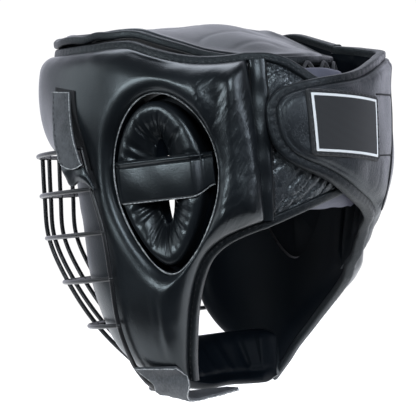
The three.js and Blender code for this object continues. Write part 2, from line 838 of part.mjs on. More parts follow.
function crownBinding() {
  const { inner, shoulder, outer, low, round } = CROWN_BINDING;
  const sections = [];
  for (let i = 0; i < CROWN_TURNS; i += 1) {
    const turn = (i / CROWN_TURNS) * 360;
    const edge = crownEdge(turn);
    const place = (out, up) => {
      const p = form(turn, edge.z, edge.out + out);
      return new THREE.Vector3(p.x, p.y, edge.z + up);
    };
    sections.push([
      place(inner, low),
      place(shoulder, low),
      place(outer, round),
      place(outer, CROWN_EDGE_THICK - round),
      place(shoulder, CROWN_EDGE_THICK),
      place(inner, CROWN_EDGE_THICK),
    ]);
  }
  return piece("crown_binding", sections, LEATHER, true);
}

// Round wire or cord along a smooth path

function rod(points, radius, sides, steps) {
  const curve = new THREE.CatmullRomCurve3(points, false, "centripetal");
  const frames = curve.computeFrenetFrames(steps, false);
  const sections = [];
  for (let i = 0; i <= steps; i += 1) {
    const p = curve.getPointAt(i / steps);
    const section = [];
    for (let j = 0; j < sides; j += 1) {
      const a = (j / sides) * 2 * Math.PI;
      const q = p.clone();
      q.addScaledVector(frames.normals[i], radius * Math.cos(a));
      q.addScaledVector(frames.binormals[i], radius * Math.sin(a));
      section.push(q);
    }
    sections.push(section);
  }
  return lofted(sections, false);
}

function crownLace() {
  const points = spread(LACE.from, LACE.to, LACE.turns).map((turn, i) => {
    const edge = crownEdge(turn);
    if (i % 2 === 0) return form(turn, edge.z - LACE.hang, edge.out + LACE.outLow);
    return form(turn, edge.z + LACE.rise, edge.out + LACE.outHigh);
  });
  const { positions, triangles } = rod(points, LACE_RADIUS, 8, 20);
  return mesh("crown_lace", positions, triangles, BLACK_COATED);
}

// Chin band

function chinPad() {
  const sections = spread(-CHIN_SWEEP, CHIN_SWEEP, CHIN_STEPS).map((degrees) => {
    const t = (degrees * Math.PI) / 180;
    const place = (v, inward) => {
      const z = CHIN[0].z + (CHIN[2].z - CHIN[0].z) * v;
      const half = along(CHIN, "z", z, "half") - inward;
      const reach = CHIN_SIDE - along(CHIN, "z", z, "front") - inward;
      return new THREE.Vector3(half * Math.sin(t), CHIN_SIDE - reach * Math.cos(t), z);
    };
    const outer = CHIN_ROWS.map((v) => place(v, 0));
    const inner = CHIN_ROWS.map((v) => {
      const s = 1 - Math.min(Math.min(v, 1 - v) / CHIN_ROLL, 1);
      return place(v, CHIN_EDGE_THICK + (CHIN_THICK - CHIN_EDGE_THICK) * Math.sqrt(1 - s * s));
    });
    return [...outer, ...inner.reverse()];
  });
  return piece("chin_pad", sections, LEATHER);
}

// Face grille

function grillePoint(z, angle) {
  const half = along(GRILLE, "z", z, "half");
  const front = along(GRILLE, "z", z, "front");
  const side = along(GRILLE, "z", z, "side");
  return new THREE.Vector3(half * Math.sin(angle), side - (side - front) * Math.cos(angle), z);
}

function faceGrille() {
  const quarter = Math.PI / 2;
  const wire = (points, steps) => rod(points, WIRE_RADIUS, WIRE_SIDES, steps);
  const across = (z, places) => spread(-quarter, quarter, places).map((a) => grillePoint(z, a));
  const down = (angle) => spread(GRILLE_TOP, GRILLE_BOTTOM, WIRE_PLACES).map((z) => grillePoint(z, angle));
  const widest = along(GRILLE, "z", BAR_LEVEL, "half");
  const wires = [
    ...HOOP_LEVELS.map((z) => wire(across(z, WIRE_PLACES), 12)),
    wire(across(GRILLE_TOP, WIRE_PLACES), 12),
    wire(across(GRILLE_BOTTOM, 10).reverse(), 8),
    wire(down(quarter), 10),
    wire(down(-quarter), 10),
    ...BAR_OFFSETS.map((x) => wire(down(Math.asin(x / widest)), 9)),
  ];
  const solids = wires.map(solid);
  for (const sign of [-1, 1]) {
    for (const z of [GRILLE_TOP, GRILLE_BOTTOM]) {
      const p = grillePoint(z, sign * quarter);
      solids.push(wasm.Manifold.sphere(WIRE_RADIUS * CORNER_WELD, 8).translate([p.x, p.y, p.z]));
    }
  }
  const joined = wasm.Manifold.union(solids).asOriginal().simplify(WELD_SIMPLIFY).getMesh();
  const positions = [];
  for (let i = 0; i < joined.vertProperties.length; i += joined.numProp) {
    positions.push(...joined.vertProperties.slice(i, i + 3));
  }
  return mesh("face_grille", positions, [...joined.triVerts], BLACK_COATED);
}

function solid({ positions, triangles }) {
  const geometry = new THREE.BufferGeometry();
  geometry.setAttribute("position", new THREE.Float32BufferAttribute(positions, 3));
  geometry.setIndex(triangles);
  const merged = mergeVertices(geometry, 1e-4);
  faceOut(merged);
  const made = new wasm.Mesh({
    numProp: 3,
    vertProperties: new Float32Array(merged.attributes.position.array),
    triVerts: new Uint32Array(merged.index.array),
  });
  return new wasm.Manifold(made);
}

// Straps that hold the grille

// On the forehead each leans back as it goes down, and near its end it stands off over the wire
const FOREHEAD_STRAP = { from: 51.5, to: 62, top: -18, bottom: -77, lean: 9 };
const FOREHEAD_STRAP_ROWS = [-18, -24, -34, -44, -54, -60, -66, -72, -77];
const OVER_WIRE = { below: -56, turn: 50, out: 34.3, slope: 0.05 };

function foreheadStrap(side, name) {
  const { from, to, top, bottom, lean } = FOREHEAD_STRAP;
  const places = FOREHEAD_STRAP_ROWS.map((z) =>
    spread(from, to, 4).map((turn) => {
      const t = turn + ((z - top) / (bottom - top)) * lean;
      const under = PADDING[side]({ turn: t, z }).out + GAP;
      const over = z < OVER_WIRE.below ? OVER_WIRE.out + (t - OVER_WIRE.turn) * OVER_WIRE.slope : 0;
      return { out: Math.max(under, over), thick: STRAP_THICK, at: (out) => form(side * t, z, out) };
    }),
  );
  return band(name, places);
}

// Outer layer on the cheek, by turn and the heights of its two edges, then the tail under the chin
const TAB_ON_CHEEK = [
  { turn: 97, top: -213, bottom: -224 },
  { turn: 90, top: -211, bottom: -225 },
  { turn: 83, top: -209, bottom: -225 },
  { turn: 77, top: -207, bottom: -224 },
];
const TAB_TAIL = [
  { x: 88.5, y: -30, z: -217.5, wide: 12 },
  { x: 79, y: -33.5, z: -229.5, wide: 12 },
  { x: 65, y: -17, z: -239.5, wide: 16 },
  { x: 52, y: 4, z: -243.2, wide: 18 },
  { x: 38, y: 22, z: -243.2, wide: 18 },
];
const TAB_OVER_WIRE = { before: 86, z: -207, out: 32.4, slope: 0.55 };
const TAB_OVER_PAD = 1.7;
const TAB_FRONT = 77;
// How the tail lies across: upright beside the wire, then flat under the chin
const TAB_UPRIGHT_ROWS = 2;
const TAB_UPRIGHT = { x: -0.3, y: 0.3, z: 1 };
const TAB_FLAT = { x: -0.75, y: -0.66, z: 0 };
// The left tab has the long tail; the right one is short and sits lower and closer
const CHIN_TABS = {
  left: { tail: 5, reach: 1, drop: 0, closer: 0 },
  right: { tail: 2, reach: 0.5, drop: 6, closer: 1.15 },
};
const TAB_DROP_OUT = 0.7;
const TAB_DROP_FORWARD = 0.5;

// A strap between two edges, given as a row of point pairs
function ribbon(name, pairs, thick) {
  const smooth = (key) => new THREE.CatmullRomCurve3(pairs.map((p) => p[key]), false, "centripetal");
  const a = smooth("a");
  const b = smooth("b");
  const steps = (pairs.length - 1) * 2;
  const sections = [];
  for (let i = 0; i <= steps; i += 1) {
    const p = a.getPoint(i / steps);
    const q = b.getPoint(i / steps);
    const run = a.getTangent(i / steps).add(b.getTangent(i / steps));
    const lift = new THREE.Vector3().crossVectors(run, q.clone().sub(p)).setLength(thick);
    sections.push([p, q, q.clone().add(lift), p.clone().add(lift)]);
  }
  return piece(name, sections, LEATHER);
}

function chinTab(side, name, { tail, reach, drop, closer }) {
  const on = TAB_ON_CHEEK.map((row) => {
    const turn = TAB_FRONT + (row.turn - TAB_FRONT) * reach;
    const place = (z) => {
      const pad = PADDING[side]({ turn, z }).out + TAB_OVER_PAD;
      const rise = TAB_OVER_WIRE.out + (z - TAB_OVER_WIRE.z) * TAB_OVER_WIRE.slope;
      const wire = turn < TAB_OVER_WIRE.before ? rise : 0;
      return form(side * turn, z, Math.max(pad, wire) - closer);
    };
    return { top: place(row.top - drop), bottom: place(row.bottom - drop) };
  });
  const under = TAB_TAIL.slice(0, tail).map((row, i) => {
    const x = side * (row.x + drop * TAB_DROP_OUT);
    const middle = new THREE.Vector3(x, row.y - drop * TAB_DROP_FORWARD, row.z);
    const way = i < TAB_UPRIGHT_ROWS ? TAB_UPRIGHT : TAB_FLAT;
    const across = new THREE.Vector3(way.x * side, way.y, way.z).setLength(row.wide / 2);
    return { top: middle.clone().add(across), bottom: middle.clone().sub(across) };
  });
  const rows = [...on, ...under];
  const pairs = rows.map((p) => (side > 0 ? { a: p.top, b: p.bottom } : { a: p.bottom, b: p.top }));
  return ribbon(name, pairs, STRAP_THICK);
}

const helmet = new THREE.Group();
helmet.name = "escrima_helmet";
helmet.add(paddedShell());
helmet.add(earPad(1, "ear_pad_left"));
helmet.add(earPad(-1, "ear_pad_right"));
helmet.add(earStrap(1, "ear_strap_left"));
helmet.add(earStrap(-1, "ear_strap_right"));
helmet.add(rearPanel());
helmet.add(backFlap());
helmet.add(labelPatch());
helmet.add(topBinding());
helmet.add(neckBindingLeft());
helmet.add(neckBindingRight());
helmet.add(flapBinding());
helmet.add(crownPad());
helmet.add(crownBinding());
helmet.add(crownLace());
helmet.add(chinPad());
helmet.add(faceGrille());
helmet.add(foreheadStrap(1, "forehead_strap_left"));
helmet.add(foreheadStrap(-1, "forehead_strap_right"));
helmet.add(chinTab(1, "chin_tab_left", CHIN_TABS.left));
helmet.add(chinTab(-1, "chin_tab_right", CHIN_TABS.right));

export default helmet;
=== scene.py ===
# %% [markdown]
# # A padded leather head guard with a wire face grille
# This lesson dresses the packed model of an escrima helmet. The packed solids give the size and the place of
# every piece. Here each soft piece is worked out again as a fine numpy surface, and gets leather, thread or paint.

import bmesh
import bpy
import numpy as np
from mathutils import Matrix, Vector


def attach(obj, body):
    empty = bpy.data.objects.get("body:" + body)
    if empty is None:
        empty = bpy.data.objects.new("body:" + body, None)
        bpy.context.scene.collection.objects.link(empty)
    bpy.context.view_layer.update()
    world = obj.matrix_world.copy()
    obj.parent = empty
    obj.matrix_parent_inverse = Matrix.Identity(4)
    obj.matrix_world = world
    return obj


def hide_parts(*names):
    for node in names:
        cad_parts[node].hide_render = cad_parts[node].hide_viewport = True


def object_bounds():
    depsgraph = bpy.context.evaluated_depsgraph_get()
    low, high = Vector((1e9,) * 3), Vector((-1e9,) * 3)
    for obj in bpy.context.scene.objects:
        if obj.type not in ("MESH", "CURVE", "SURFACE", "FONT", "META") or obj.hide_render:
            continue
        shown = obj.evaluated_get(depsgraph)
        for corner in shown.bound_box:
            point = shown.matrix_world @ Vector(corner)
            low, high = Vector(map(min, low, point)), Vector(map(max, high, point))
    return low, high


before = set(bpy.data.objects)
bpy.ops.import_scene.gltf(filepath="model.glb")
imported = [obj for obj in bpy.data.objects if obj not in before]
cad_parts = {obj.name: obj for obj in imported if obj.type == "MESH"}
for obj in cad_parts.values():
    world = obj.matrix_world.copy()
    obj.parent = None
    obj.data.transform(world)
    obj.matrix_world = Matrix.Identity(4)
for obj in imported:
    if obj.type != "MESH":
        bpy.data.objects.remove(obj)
cad_box = [[float(v) for v in corner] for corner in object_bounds()]
print("nodes:", len(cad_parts), "box in metres:", cad_box)

# %% [markdown]
# ## Camera
# The photograph looks at the wearer's left side, a little from behind and level with the ears, and the helmet
# nods forward in the frame. A long lens far away gives the same flat perspective. The nod is a roll of the
# camera, so the model itself stays upright.

# %% Camera at the photograph's angle
MM = 0.001
PICTURE = 416
VIEW = {"azimuth": 121.0, "elevation": -0.5, "roll": 5.8, "distance": 1600.0, "mm_per_pixel": 0.715}
AIM = np.array([0.0, -7.0, -112.0])
SENSOR = 36.0
SEES_TO = 50.0
UPRIGHT = np.array([0.0, 0.0, 1.0])


def unit(ways):
    """Directions of length one: each divided by its own length."""
    return ways / np.linalg.norm(ways, axis=-1, keepdims=True)


def camera_axes(azimuth, elevation, roll):
    """Right, up and backward directions: a compass turn and a rise, then both turned about the line of sight."""
    a, e, r = np.radians([azimuth, elevation, roll])
    back = np.array([np.sin(a) * np.cos(e), -np.cos(a) * np.cos(e), np.sin(e)])
    right = unit(np.cross(-back, UPRIGHT))
    up = np.cross(right, -back)
    turned = right * np.cos(r) - up * np.sin(r)
    risen = right * np.sin(r) + up * np.cos(r)
    return turned, risen, back


def set_place(thing, axes, spot):
    """Put a camera or a lamp in the scene: three directions as columns, and a spot in metres."""
    place = np.eye(4)
    place[:3, :3] = np.stack(axes, -1)
    place[:3, 3] = spot
    thing.matrix_world = Matrix(place.tolist())
    bpy.context.scene.collection.objects.link(thing)


right, up, back = camera_axes(VIEW["azimuth"], VIEW["elevation"], VIEW["roll"])
lens = bpy.data.cameras.new("photo_camera")
lens.sensor_width = SENSOR
lens.lens = SENSOR * VIEW["distance"] / (PICTURE * VIEW["mm_per_pixel"])
lens.clip_end = SEES_TO
camera = bpy.data.objects.new("photo_camera", lens)
set_place(camera, (right, up, back), (AIM + back * VIEW["distance"]) * MM)
bpy.context.scene.camera = camera
print("lens", round(lens.lens, 1), "mm at", np.round(camera.matrix_world.translation, 3))

# %% [markdown]
# ## Curves and surfaces
# Every soft piece hangs on one form: the shape of a head, as a rounded oval whose width and depth change with
# height. A point is given by a turn from the front, a height, and a distance out. Outlines are drawn on a flat
# chart of that form, in millimetres, where 1.75 mm across is one degree of turn.

# %% Smooth tables and the head form
MM_PER_DEGREE = 1.75
FORM_POWER = 2.3
# height, half width, reach to the front, reach to the back
FORM = [
    (-254, 60, 52, 68),
    (-224, 68, 62, 76),
    (-184, 75, 74, 82),
    (-144, 79, 84, 88),
    (-104, 81, 92, 101),
    (-64, 81, 95, 105.5),
    (-24, 78, 93, 108),
    (16, 68, 84, 116),
]


def smooth_rows(table, x):
    """Cubic through a table's rows: each row's slope is the slope between its two neighbours."""
    rows = np.asarray(table, float)
    key, values = rows[:, 0], rows[:, 1:]
    last = len(key) - 1
    before = np.maximum(np.arange(last + 1) - 1, 0)
    after = np.minimum(np.arange(last + 1) + 1, last)
    slope = (values[after] - values[before]) / (key[after] - key[before])[:, None]
    x = np.clip(np.asarray(x, float), key[0], key[-1])
    i = np.clip(np.searchsorted(key, x) - 1, 0, last - 1)
    step = (key[i + 1] - key[i])[..., None]
    s = (x - key[i])[..., None] / step
    r = 1 - s
    ends = (1 + 2 * s) * r * r * values[i] + s * s * (3 - 2 * s) * values[i + 1]
    return ends + step * (s * r * r * slope[i] - s * s * r * slope[i + 1])


def form(turn, z, out):
    """Point on the head form: an oval of power 2.3 at that height, then a level step out along its normal."""
    turn, z, out = np.broadcast_arrays(*[np.asarray(v, float) for v in (turn, z, out)])
    sizes = smooth_rows(FORM, z)
    half = sizes[..., 0]
    across, ahead = np.sin(np.radians(turn)), np.cos(np.radians(turn))
    deep = np.where(ahead >= 0, sizes[..., 1], sizes[..., 2])
    powers = np.abs(across / half) ** FORM_POWER + np.abs(ahead / deep) ** FORM_POWER
    reach = powers ** (-1 / FORM_POWER)
    x, y = reach * across, -reach * ahead
    nx = np.sign(x) * np.abs(x / half) ** (FORM_POWER - 1) / half
    ny = np.sign(y) * np.abs(y / deep) ** (FORM_POWER - 1) / deep
    size = np.hypot(nx, ny)
    return np.stack([x + nx / size * out, y + ny / size * out, z], -1)


def on_form(u, z, out, side=1):
    """Point for a place on the chart: its distance across becomes a turn to the wearer's left or right."""
    return form(side * np.asarray(u) / MM_PER_DEGREE, z, out)


print("ear level, out 20 mm:", np.round(form(102, -86, 20), 1))

# %% Curves on the chart
STEPS_PER_SPAN = 60
TINY = 1e-9


def run_along(line):
    """Length of a line up to each of its points: the sum of the steps before it."""
    return np.concatenate([[0], np.cumsum(np.linalg.norm(np.diff(line, axis=0), axis=1))])


def along_at(line, run, at):
    """Points of a line at given lengths, straight between its own points."""
    return np.stack([np.interp(at, run, column) for column in line.T], -1)


def resample(line, count):
    """The same line with its points at equal steps of length."""
    run = run_along(line)
    return along_at(line, run, np.linspace(0, run[-1], count + 1))


def curve_through(points, count):
    """Evenly spaced points of a centripetal Catmull-Rom curve: the knots are the square roots of the chords."""
    p = np.asarray(points, float)
    p = np.vstack([2 * p[0] - p[1], p, 2 * p[-1] - p[-2]])
    knot = np.concatenate([[0], np.cumsum(np.linalg.norm(np.diff(p, axis=0), axis=1) ** 0.5)])
    s = np.linspace(knot[1], knot[-2], STEPS_PER_SPAN * (len(p) - 3) + 1)
    i = np.clip(np.searchsorted(knot, s, side="right") - 1, 1, len(p) - 3)

    def between(a, b, ta, tb):
        """Straight blend of two points: a at knot ta, b at knot tb."""
        w = ((s - ta) / (tb - ta))[:, None]
        return a * (1 - w) + b * w

    t0, t1, t2, t3 = knot[i - 1], knot[i], knot[i + 1], knot[i + 2]
    a1 = between(p[i - 1], p[i], t0, t1)
    a2 = between(p[i], p[i + 1], t1, t2)
    a3 = between(p[i + 1], p[i + 2], t2, t3)
    b1 = between(a1, a2, t0, t2)
    b2 = between(a2, a3, t1, t3)
    return resample(between(b1, b2, t1, t2), count)


def chart(table):
    """Turn and height rows as chart millimetres."""
    return np.asarray(table, float) * [MM_PER_DEGREE, 1]


def shifted(line, distance):
    """The line moved sideways, to the left of its travel, at right angles to its own direction."""
    way = unit(np.gradient(line, axis=0))
    return line + distance * np.stack([-way[:, 1], way[:, 0]], -1)


def chart_distance(u, z, line):
    """Shortest distance from each chart place to a line of straight steps."""
    p = np.stack([np.ravel(u), np.ravel(z)], -1)
    a, step = line[:-1], np.diff(line, axis=0)
    rel = p[:, None] - a
    s = np.clip((rel * step).sum(-1) / np.maximum((step * step).sum(-1), TINY), 0, 1)
    return np.linalg.norm(rel - s[..., None] * step, axis=-1).min(1).reshape(np.shape(u))


print("curve check:", np.round(curve_through([(0, 0), (10, 5), (20, 0)], 4), 1).tolist())

# %% [markdown]
# ## Swells and steps
# Soft leather is never even. A few seeded sine waves added together give a slow swell, and the places where that
# swell passes through zero make thin creases. Smooth steps say where on the helmet a swell or a crease comes in
# and goes out again.

# %% Smooth steps, ripples and creases
WAVE_COUNT = 26
# shortest and longest wave, as shares of a ripple's wave number
WAVE_SHARES = (0.7, 1.4)


def ease(x, low, high):
    """Smooth step from 0 at low to 1 at high."""
    s = np.clip((np.asarray(x, float) - low) / (high - low), 0, 1)
    return s * s * (3 - 2 * s)


def window(x, rise, fall):
    """1 between two smooth steps: up over the first pair of places, down over the second."""
    return ease(x, *rise) * (1 - ease(x, *fall))


def bell(x, middle, width):
    """1 at the middle, falling off both ways as the exponential of minus the square."""
    return np.exp(-(((x - middle) / width) ** 2))


def close_ends(count):
    """Shares from 0 to 1 that lie closer at both ends: half of one less the cosine."""
    return (1 - np.cos(np.pi * np.linspace(0, 1, count))) / 2


def ripples(points, wavelength, seed, stretch=(1, 1, 1)):
    """Uneven swell: the sum of seeded sine waves of about one wavelength, longer along a stretched axis."""
    rng = np.random.default_rng(seed)
    ways = unit(rng.normal(size=(WAVE_COUNT, 3)))
    number = 2 * np.pi / wavelength * rng.uniform(*WAVE_SHARES, (WAVE_COUNT, 1))
    ways = ways * (number / np.asarray(stretch, float))
    phase = rng.uniform(0, 2 * np.pi, WAVE_COUNT)
    return np.sin(points @ ways.T + phase).sum(-1) / np.sqrt(WAVE_COUNT / 2)


def creases(points, wavelength, seed, stretch=(1, 1, 1), width=0.3):
    """Thin valleys where the ripples pass through zero: 1 in a valley, 0 away from it."""
    return bell(ripples(points, wavelength, seed, stretch), 0, width)


print("window check:", np.round(window(np.array([0, 1, 2, 3, 4]), (0, 2), (2, 4)), 2).tolist())

# %% [markdown]
# ## Finishes
# Shader maths reads best as plain Python, so one small class wraps a socket and lets `+`, `-` and `*` add Math
# nodes. A second class holds a set of nodes. One of its methods adds a node of any kind, and short methods on top
# of it give the patterns that the finishes share. A finish is such a set with one shader.

# %% Sockets as Python values


def maths(operation, swapped=False):
    """An operator of Value: it adds one Math node for two values, the other way round if swapped."""

    def apply(self, other):
        """One Math node for this value and another."""
        first, second = (other, self) if swapped else (self, other)
        return self.nodes.add("ShaderNodeMath", {"operation": operation}, {0: first, 1: second})

    return apply


class Value:
    """An output of a node; its operators add Math nodes."""

    __add__, __radd__ = maths("ADD"), maths("ADD", True)
    __sub__, __rsub__ = maths("SUBTRACT"), maths("SUBTRACT", True)
    __mul__, __rmul__ = maths("MULTIPLY"), maths("MULTIPLY", True)

    def __init__(self, nodes, socket):
        """The set of nodes it belongs to, and its socket."""
        self.nodes = nodes
        self.socket = socket


class Nodes:
    """The nodes of a material or of the world: add() makes any node, the others make the common ones."""

    def __init__(self, tree):
        """The node tree that new nodes go into."""
        self.tree = tree

    def add(self, kind, settings=None, inputs=None, output=0):
        """A node of any kind: its settings first, then a value or a link for each socket."""
        node = self.tree.nodes.new(kind)
        for key, value in (settings or {}).items():
            setattr(node, key, value)
        for key, value in (inputs or {}).items():
            if isinstance(value, Value):
                self.tree.links.new(value.socket, node.inputs[key])
            else:
                node.inputs[key].default_value = value
        return Value(self, node.outputs[output])

    def place(self):
        """Where a point lies on the piece, in metres."""
        return self.add("ShaderNodeTexCoord", output="Object")

    def painted(self, attribute):
        """A number that the piece carries at each of its points."""
        return self.add("ShaderNodeAttribute", {"attribute_name": attribute}, output="Fac")

    def along(self, place, way):
        """How far a place lies along a direction."""
        ways = {0: place, 1: way}
        return self.add("ShaderNodeVectorMath", {"operation": "DOT_PRODUCT"}, ways, output="Value")

    def stretched(self, place, scale):
        """A place with each axis scaled, so that a pattern runs longer one way."""
        return self.add("ShaderNodeMapping", None, {"Vector": place, "Scale": scale})

    def between(self, value, low, high):
        """Smooth step from 0 at low to 1 at high."""
        ramp = {"Value": value, "From Min": low, "From Max": high}
        return self.add("ShaderNodeMapRange", {"interpolation_type": "SMOOTHSTEP"}, ramp)

    def noise(self, place, scale, detail=3.0, roughness=0.55):
        """Uneven pattern: about so many swells to a metre, with finer ones in it."""
        pattern = {"Vector": place, "Scale": scale, "Detail": detail, "Roughness": roughness}
        return self.add("ShaderNodeTexNoise", None, pattern)

    def mixed(self, factor, a, b):
        """A colour between two colours."""
        return self.add("ShaderNodeMix", {"data_type": "RGBA"}, {0: factor, 6: a, 7: b}, output=2)


class Finish(Nodes):
    """A procedural material: look() sets constants, feed() links what varies."""

    def __init__(self, name):
        """A new material with its own tree and one shader."""
        self.material = bpy.data.materials.new(name)
        self.material.use_nodes = True
        super().__init__(self.material.node_tree)
        self.shader = self.tree.nodes["Principled BSDF"]

    def look(self, **sockets):
        """Numbers and colours that are the same all over, set on the shader itself."""
        for key, value in sockets.items():
            self.shader.inputs[key.replace("_", " ")].default_value = value

    def feed(self, socket, value):
        """What varies over the surface, linked to the shader."""
        self.tree.links.new(value.socket, self.shader.inputs[socket])

    def bumps(self, height, strength, depth):
        """Fine relief, which bends the light and leaves the shape alone."""
        relief = {"Height": height, "Strength": strength, "Distance": depth}
        self.feed("Normal", self.add("ShaderNodeBump", None, relief))


print("operators:", [word for word in vars(Value) if word.endswith(("add__", "sub__", "mul__"))])

# %% [markdown]
# ## Leather
# Black leather is mostly what it reflects: a dark base, a soft gloss that changes over the skin, and a fine
# pebbled grain with longer wrinkles in it. Behind the ear the hide is pulled, and short slanting folds show
# there. One function gives every black hide, so that the pieces differ only in tone, gloss and wrinkles.

# %% Black hides
# the hide behind the ear is pulled up towards the rear seam: that way, and the way across it
PULL_WAY, PULL_ACROSS = (-0.29, 0.41, 0.87), (-0.5, 0.71, -0.5)
PULL_LENGTH = 0.16
# patterns of a hide: swells to a metre, detail, roughness
PULLS, FOLDS = (420.0, 3.0, 0.6), (300.0, 5.0, 0.6)
SWELL, TONE = (60.0, 2.0), (22.0, 3.0)
FOLD_STRETCH = (1.0, 1.0, 0.6)
GRAIN_SCALE = 1100.0
NOISE_MIDDLE = 0.5
VALLEY_WIDTH = 0.004
TONE_RANGE = (0.3, 0.7)
# how much duller a swell and a valley are, and how much each pattern adds to the relief
SWELL_DULL, VALLEY_DULL = 0.08, 0.06
GRAIN_RISE, SWELL_RISE, PULL_RISE = 0.16, 0.12, 1.3
COOL_SHEEN = (0.88, 0.96, 1.0, 1)


def leather(name, dark, pale, rough, wrinkle, shine=0.5):
    """Black hide: cell-like grain, thin wrinkle valleys, slanting pulls where worn, drifting gloss and tone."""
    f = Finish(name)
    place = f.place()
    slant = {0: f.along(place, PULL_ACROSS), 1: f.along(place, PULL_WAY) * PULL_LENGTH}
    pull = f.noise(f.add("ShaderNodeCombineXYZ", None, slant), *PULLS) * f.painted("worn")
    cells = {"Vector": place, "Scale": GRAIN_SCALE}
    grain = f.add("ShaderNodeTexVoronoi", {"feature": "SMOOTH_F1"}, cells)
    swell = f.noise(place, *SWELL)
    fold = f.noise(f.stretched(place, FOLD_STRETCH), *FOLDS) - NOISE_MIDDLE
    valley = (1 - f.between(fold * fold, 0.0, VALLEY_WIDTH)) * wrinkle
    tone = f.between(f.noise(place, *TONE), *TONE_RANGE)
    f.feed("Base Color", f.mixed(tone, dark, pale))
    f.feed("Roughness", rough + (swell - NOISE_MIDDLE) * SWELL_DULL + valley * VALLEY_DULL)
    relief = grain * GRAIN_RISE + swell * SWELL_RISE + pull * PULL_RISE - valley
    f.bumps(relief, strength=0.5, depth=0.0006)
    f.look(Specular_IOR_Level=shine, Specular_Tint=COOL_SHEEN)
    return f.material


HIDE = leather("black_leather", (0.005, 0.006, 0.0075, 1), (0.009, 0.011, 0.0135, 1), 0.31, 0.05)
CREASED = leather("creased_leather", (0.006, 0.007, 0.0085, 1), (0.022, 0.025, 0.03, 1), 0.28, 1.9, 0.8)
FLAP_HIDE = leather("flap_leather", (0.008, 0.009, 0.0115, 1), (0.017, 0.019, 0.023, 1), 0.39, 0.3)
EDGE_HIDE = leather("edge_leather", (0.004, 0.005, 0.006, 1), (0.01, 0.0115, 0.014, 1), 0.42, 0.4, 0.32)
# pale lavender lining: its pale colour is a painted sheen of light on a black lining
SHEEN_PAINTED_LINING = leather("sheen_painted_lining", (0.085, 0.085, 0.115, 1), (0.12, 0.12, 0.155, 1), 0.5, 0.2, 0.3)
print("hides:", len(bpy.data.materials))

# %% [markdown]
# ## Lining, straps, thread and paint
# The other finishes are simpler: a fine pattern raised a little, and a colour and a gloss that drift between two
# values. One function holds that, and each finish gives its own numbers. Only the worn straps and the woven
# label need more, so they have functions of their own.

# %% The plainer finishes


def plain_finish(name, grain, drift, colours, rough, bump, shine=0.5, spread=None):
    """Raised grain under a drifting tone: colour and roughness follow the drift, or the grain if there is none."""
    f = Finish(name)
    place = f.place()
    fine = f.noise(place, *grain)
    slow = f.noise(place, *drift) if drift else fine
    f.feed("Base Color", f.mixed(f.between(slow, *spread) if spread else slow, *colours))
    f.feed("Roughness", rough[0] + slow * rough[1])
    f.bumps(fine, *bump)
    f.look(Specular_IOR_Level=shine)
    return f.material


# thin black lining: almost no colour of its own, a dull sheen and a faint grain. It is darker and duller than
# the hide, as painted shade on the insides; on the ear pads' flanges and slots and the walls of the ear openings,
# where the hide goes on, it is painted shade alone
LINING_AND_SHADE = plain_finish("lining_and_painted_shade", grain=(900.0, 3.0), drift=(25.0, 2.0),
                      colours=((0.001, 0.0019, 0.0032, 1), (0.003, 0.0047, 0.0072, 1)),
                      rough=(0.4, 0.12), bump=(0.2, 0.0003), shine=0.05)
# the cut edge of a hide: pale grey fibre, uneven along its length
RAW_EDGE = plain_finish("cut_leather_edge", grain=(500.0, 4.0, 0.7), drift=None,
                        colours=((0.09, 0.092, 0.096, 1), (0.6, 0.61, 0.62, 1)),
                        rough=(0.55, 0.2), bump=(0.5, 0.0003), spread=(0.3, 0.75))
# waxed black thread: its twist shows as a fine ripple
THREAD = plain_finish("waxed_thread", grain=(1400.0, 2.0), drift=None,
                      colours=((0.012, 0.012, 0.014, 1), (0.05, 0.05, 0.055, 1)),
                      rough=(0.4, 0.25), bump=(0.5, 0.0002))
# black coating on steel wire: a satin skin with a faint orange-peel and a few duller patches
WIRE_COAT = plain_finish("coated_wire", grain=(700.0, 2.0), drift=(45.0, 3.0),
                         colours=((0.006, 0.006, 0.007, 1), (0.016, 0.016, 0.018, 1)),
                         rough=(0.26, 0.14), bump=(0.25, 0.0003), shine=0.4)
# black loop tape: a dull pile of tiny loops
LOOP_TAPE = plain_finish("loop_tape", grain=(1100.0, 4.0, 0.8), drift=None,
                         colours=((0.004, 0.004, 0.005, 1), (0.02, 0.02, 0.023, 1)),
                         rough=(0.8, 0.15), bump=(0.9, 0.0008))
print("finishes:", len(bpy.data.materials))

# %% Worn straps and the woven label
# where the label's pale line begins and ends, in mm from the patch's edge
LINE_BEGINS, LINE_ENDS = (2.7, 3.0), (4.4, 4.7)


def strap_leather(name):
    """Worn split leather: a grey nap brushed along the strap over a black hide."""
    f = Finish(name)
    place = f.place()
    nap = f.noise(f.stretched(place, (1.0, 1.0, 0.5)), scale=900.0, detail=5.0, roughness=0.7)
    worn = f.noise(place, scale=60.0, detail=4.0)
    pale = f.between(nap * 0.6 + worn * 0.5, 0.35, 0.8)
    f.feed("Base Color", f.mixed(pale, (0.03, 0.032, 0.036, 1), (0.1, 0.105, 0.115, 1)))
    f.feed("Roughness", 0.5 + nap * 0.25)
    f.bumps(nap, strength=0.6, depth=0.0005)
    f.look(Specular_IOR_Level=0.4)
    return f.material


def woven_label(name):
    """A bare woven patch: fine crossed ribs, with one plain pale line set in from its edge."""
    f = Finish(name)
    inset = f.painted("inset")
    line = f.between(inset, *LINE_BEGINS) * (1 - f.between(inset, *LINE_ENDS))
    weave = {"Vector": f.place(), "Scale": 420.0, "Distortion": 0.6, "Detail": 1.0}
    rib = f.add("ShaderNodeTexWave", {"wave_type": "BANDS", "bands_direction": "Z"}, weave)
    ground = f.mixed(rib, (0.012, 0.013, 0.015, 1), (0.03, 0.031, 0.034, 1))
    f.feed("Base Color", f.mixed(line, ground, (0.95, 0.96, 0.97, 1)))
    f.feed("Roughness", 0.6 + rib * 0.15)
    f.bumps(rib + line * 1.5, strength=0.5, depth=0.0003)
    return f.material


STRAP_HIDE = strap_leather("strap_leather")
LABEL_WEAVE = woven_label("woven_label")
print("finishes:", len(bpy.data.materials))

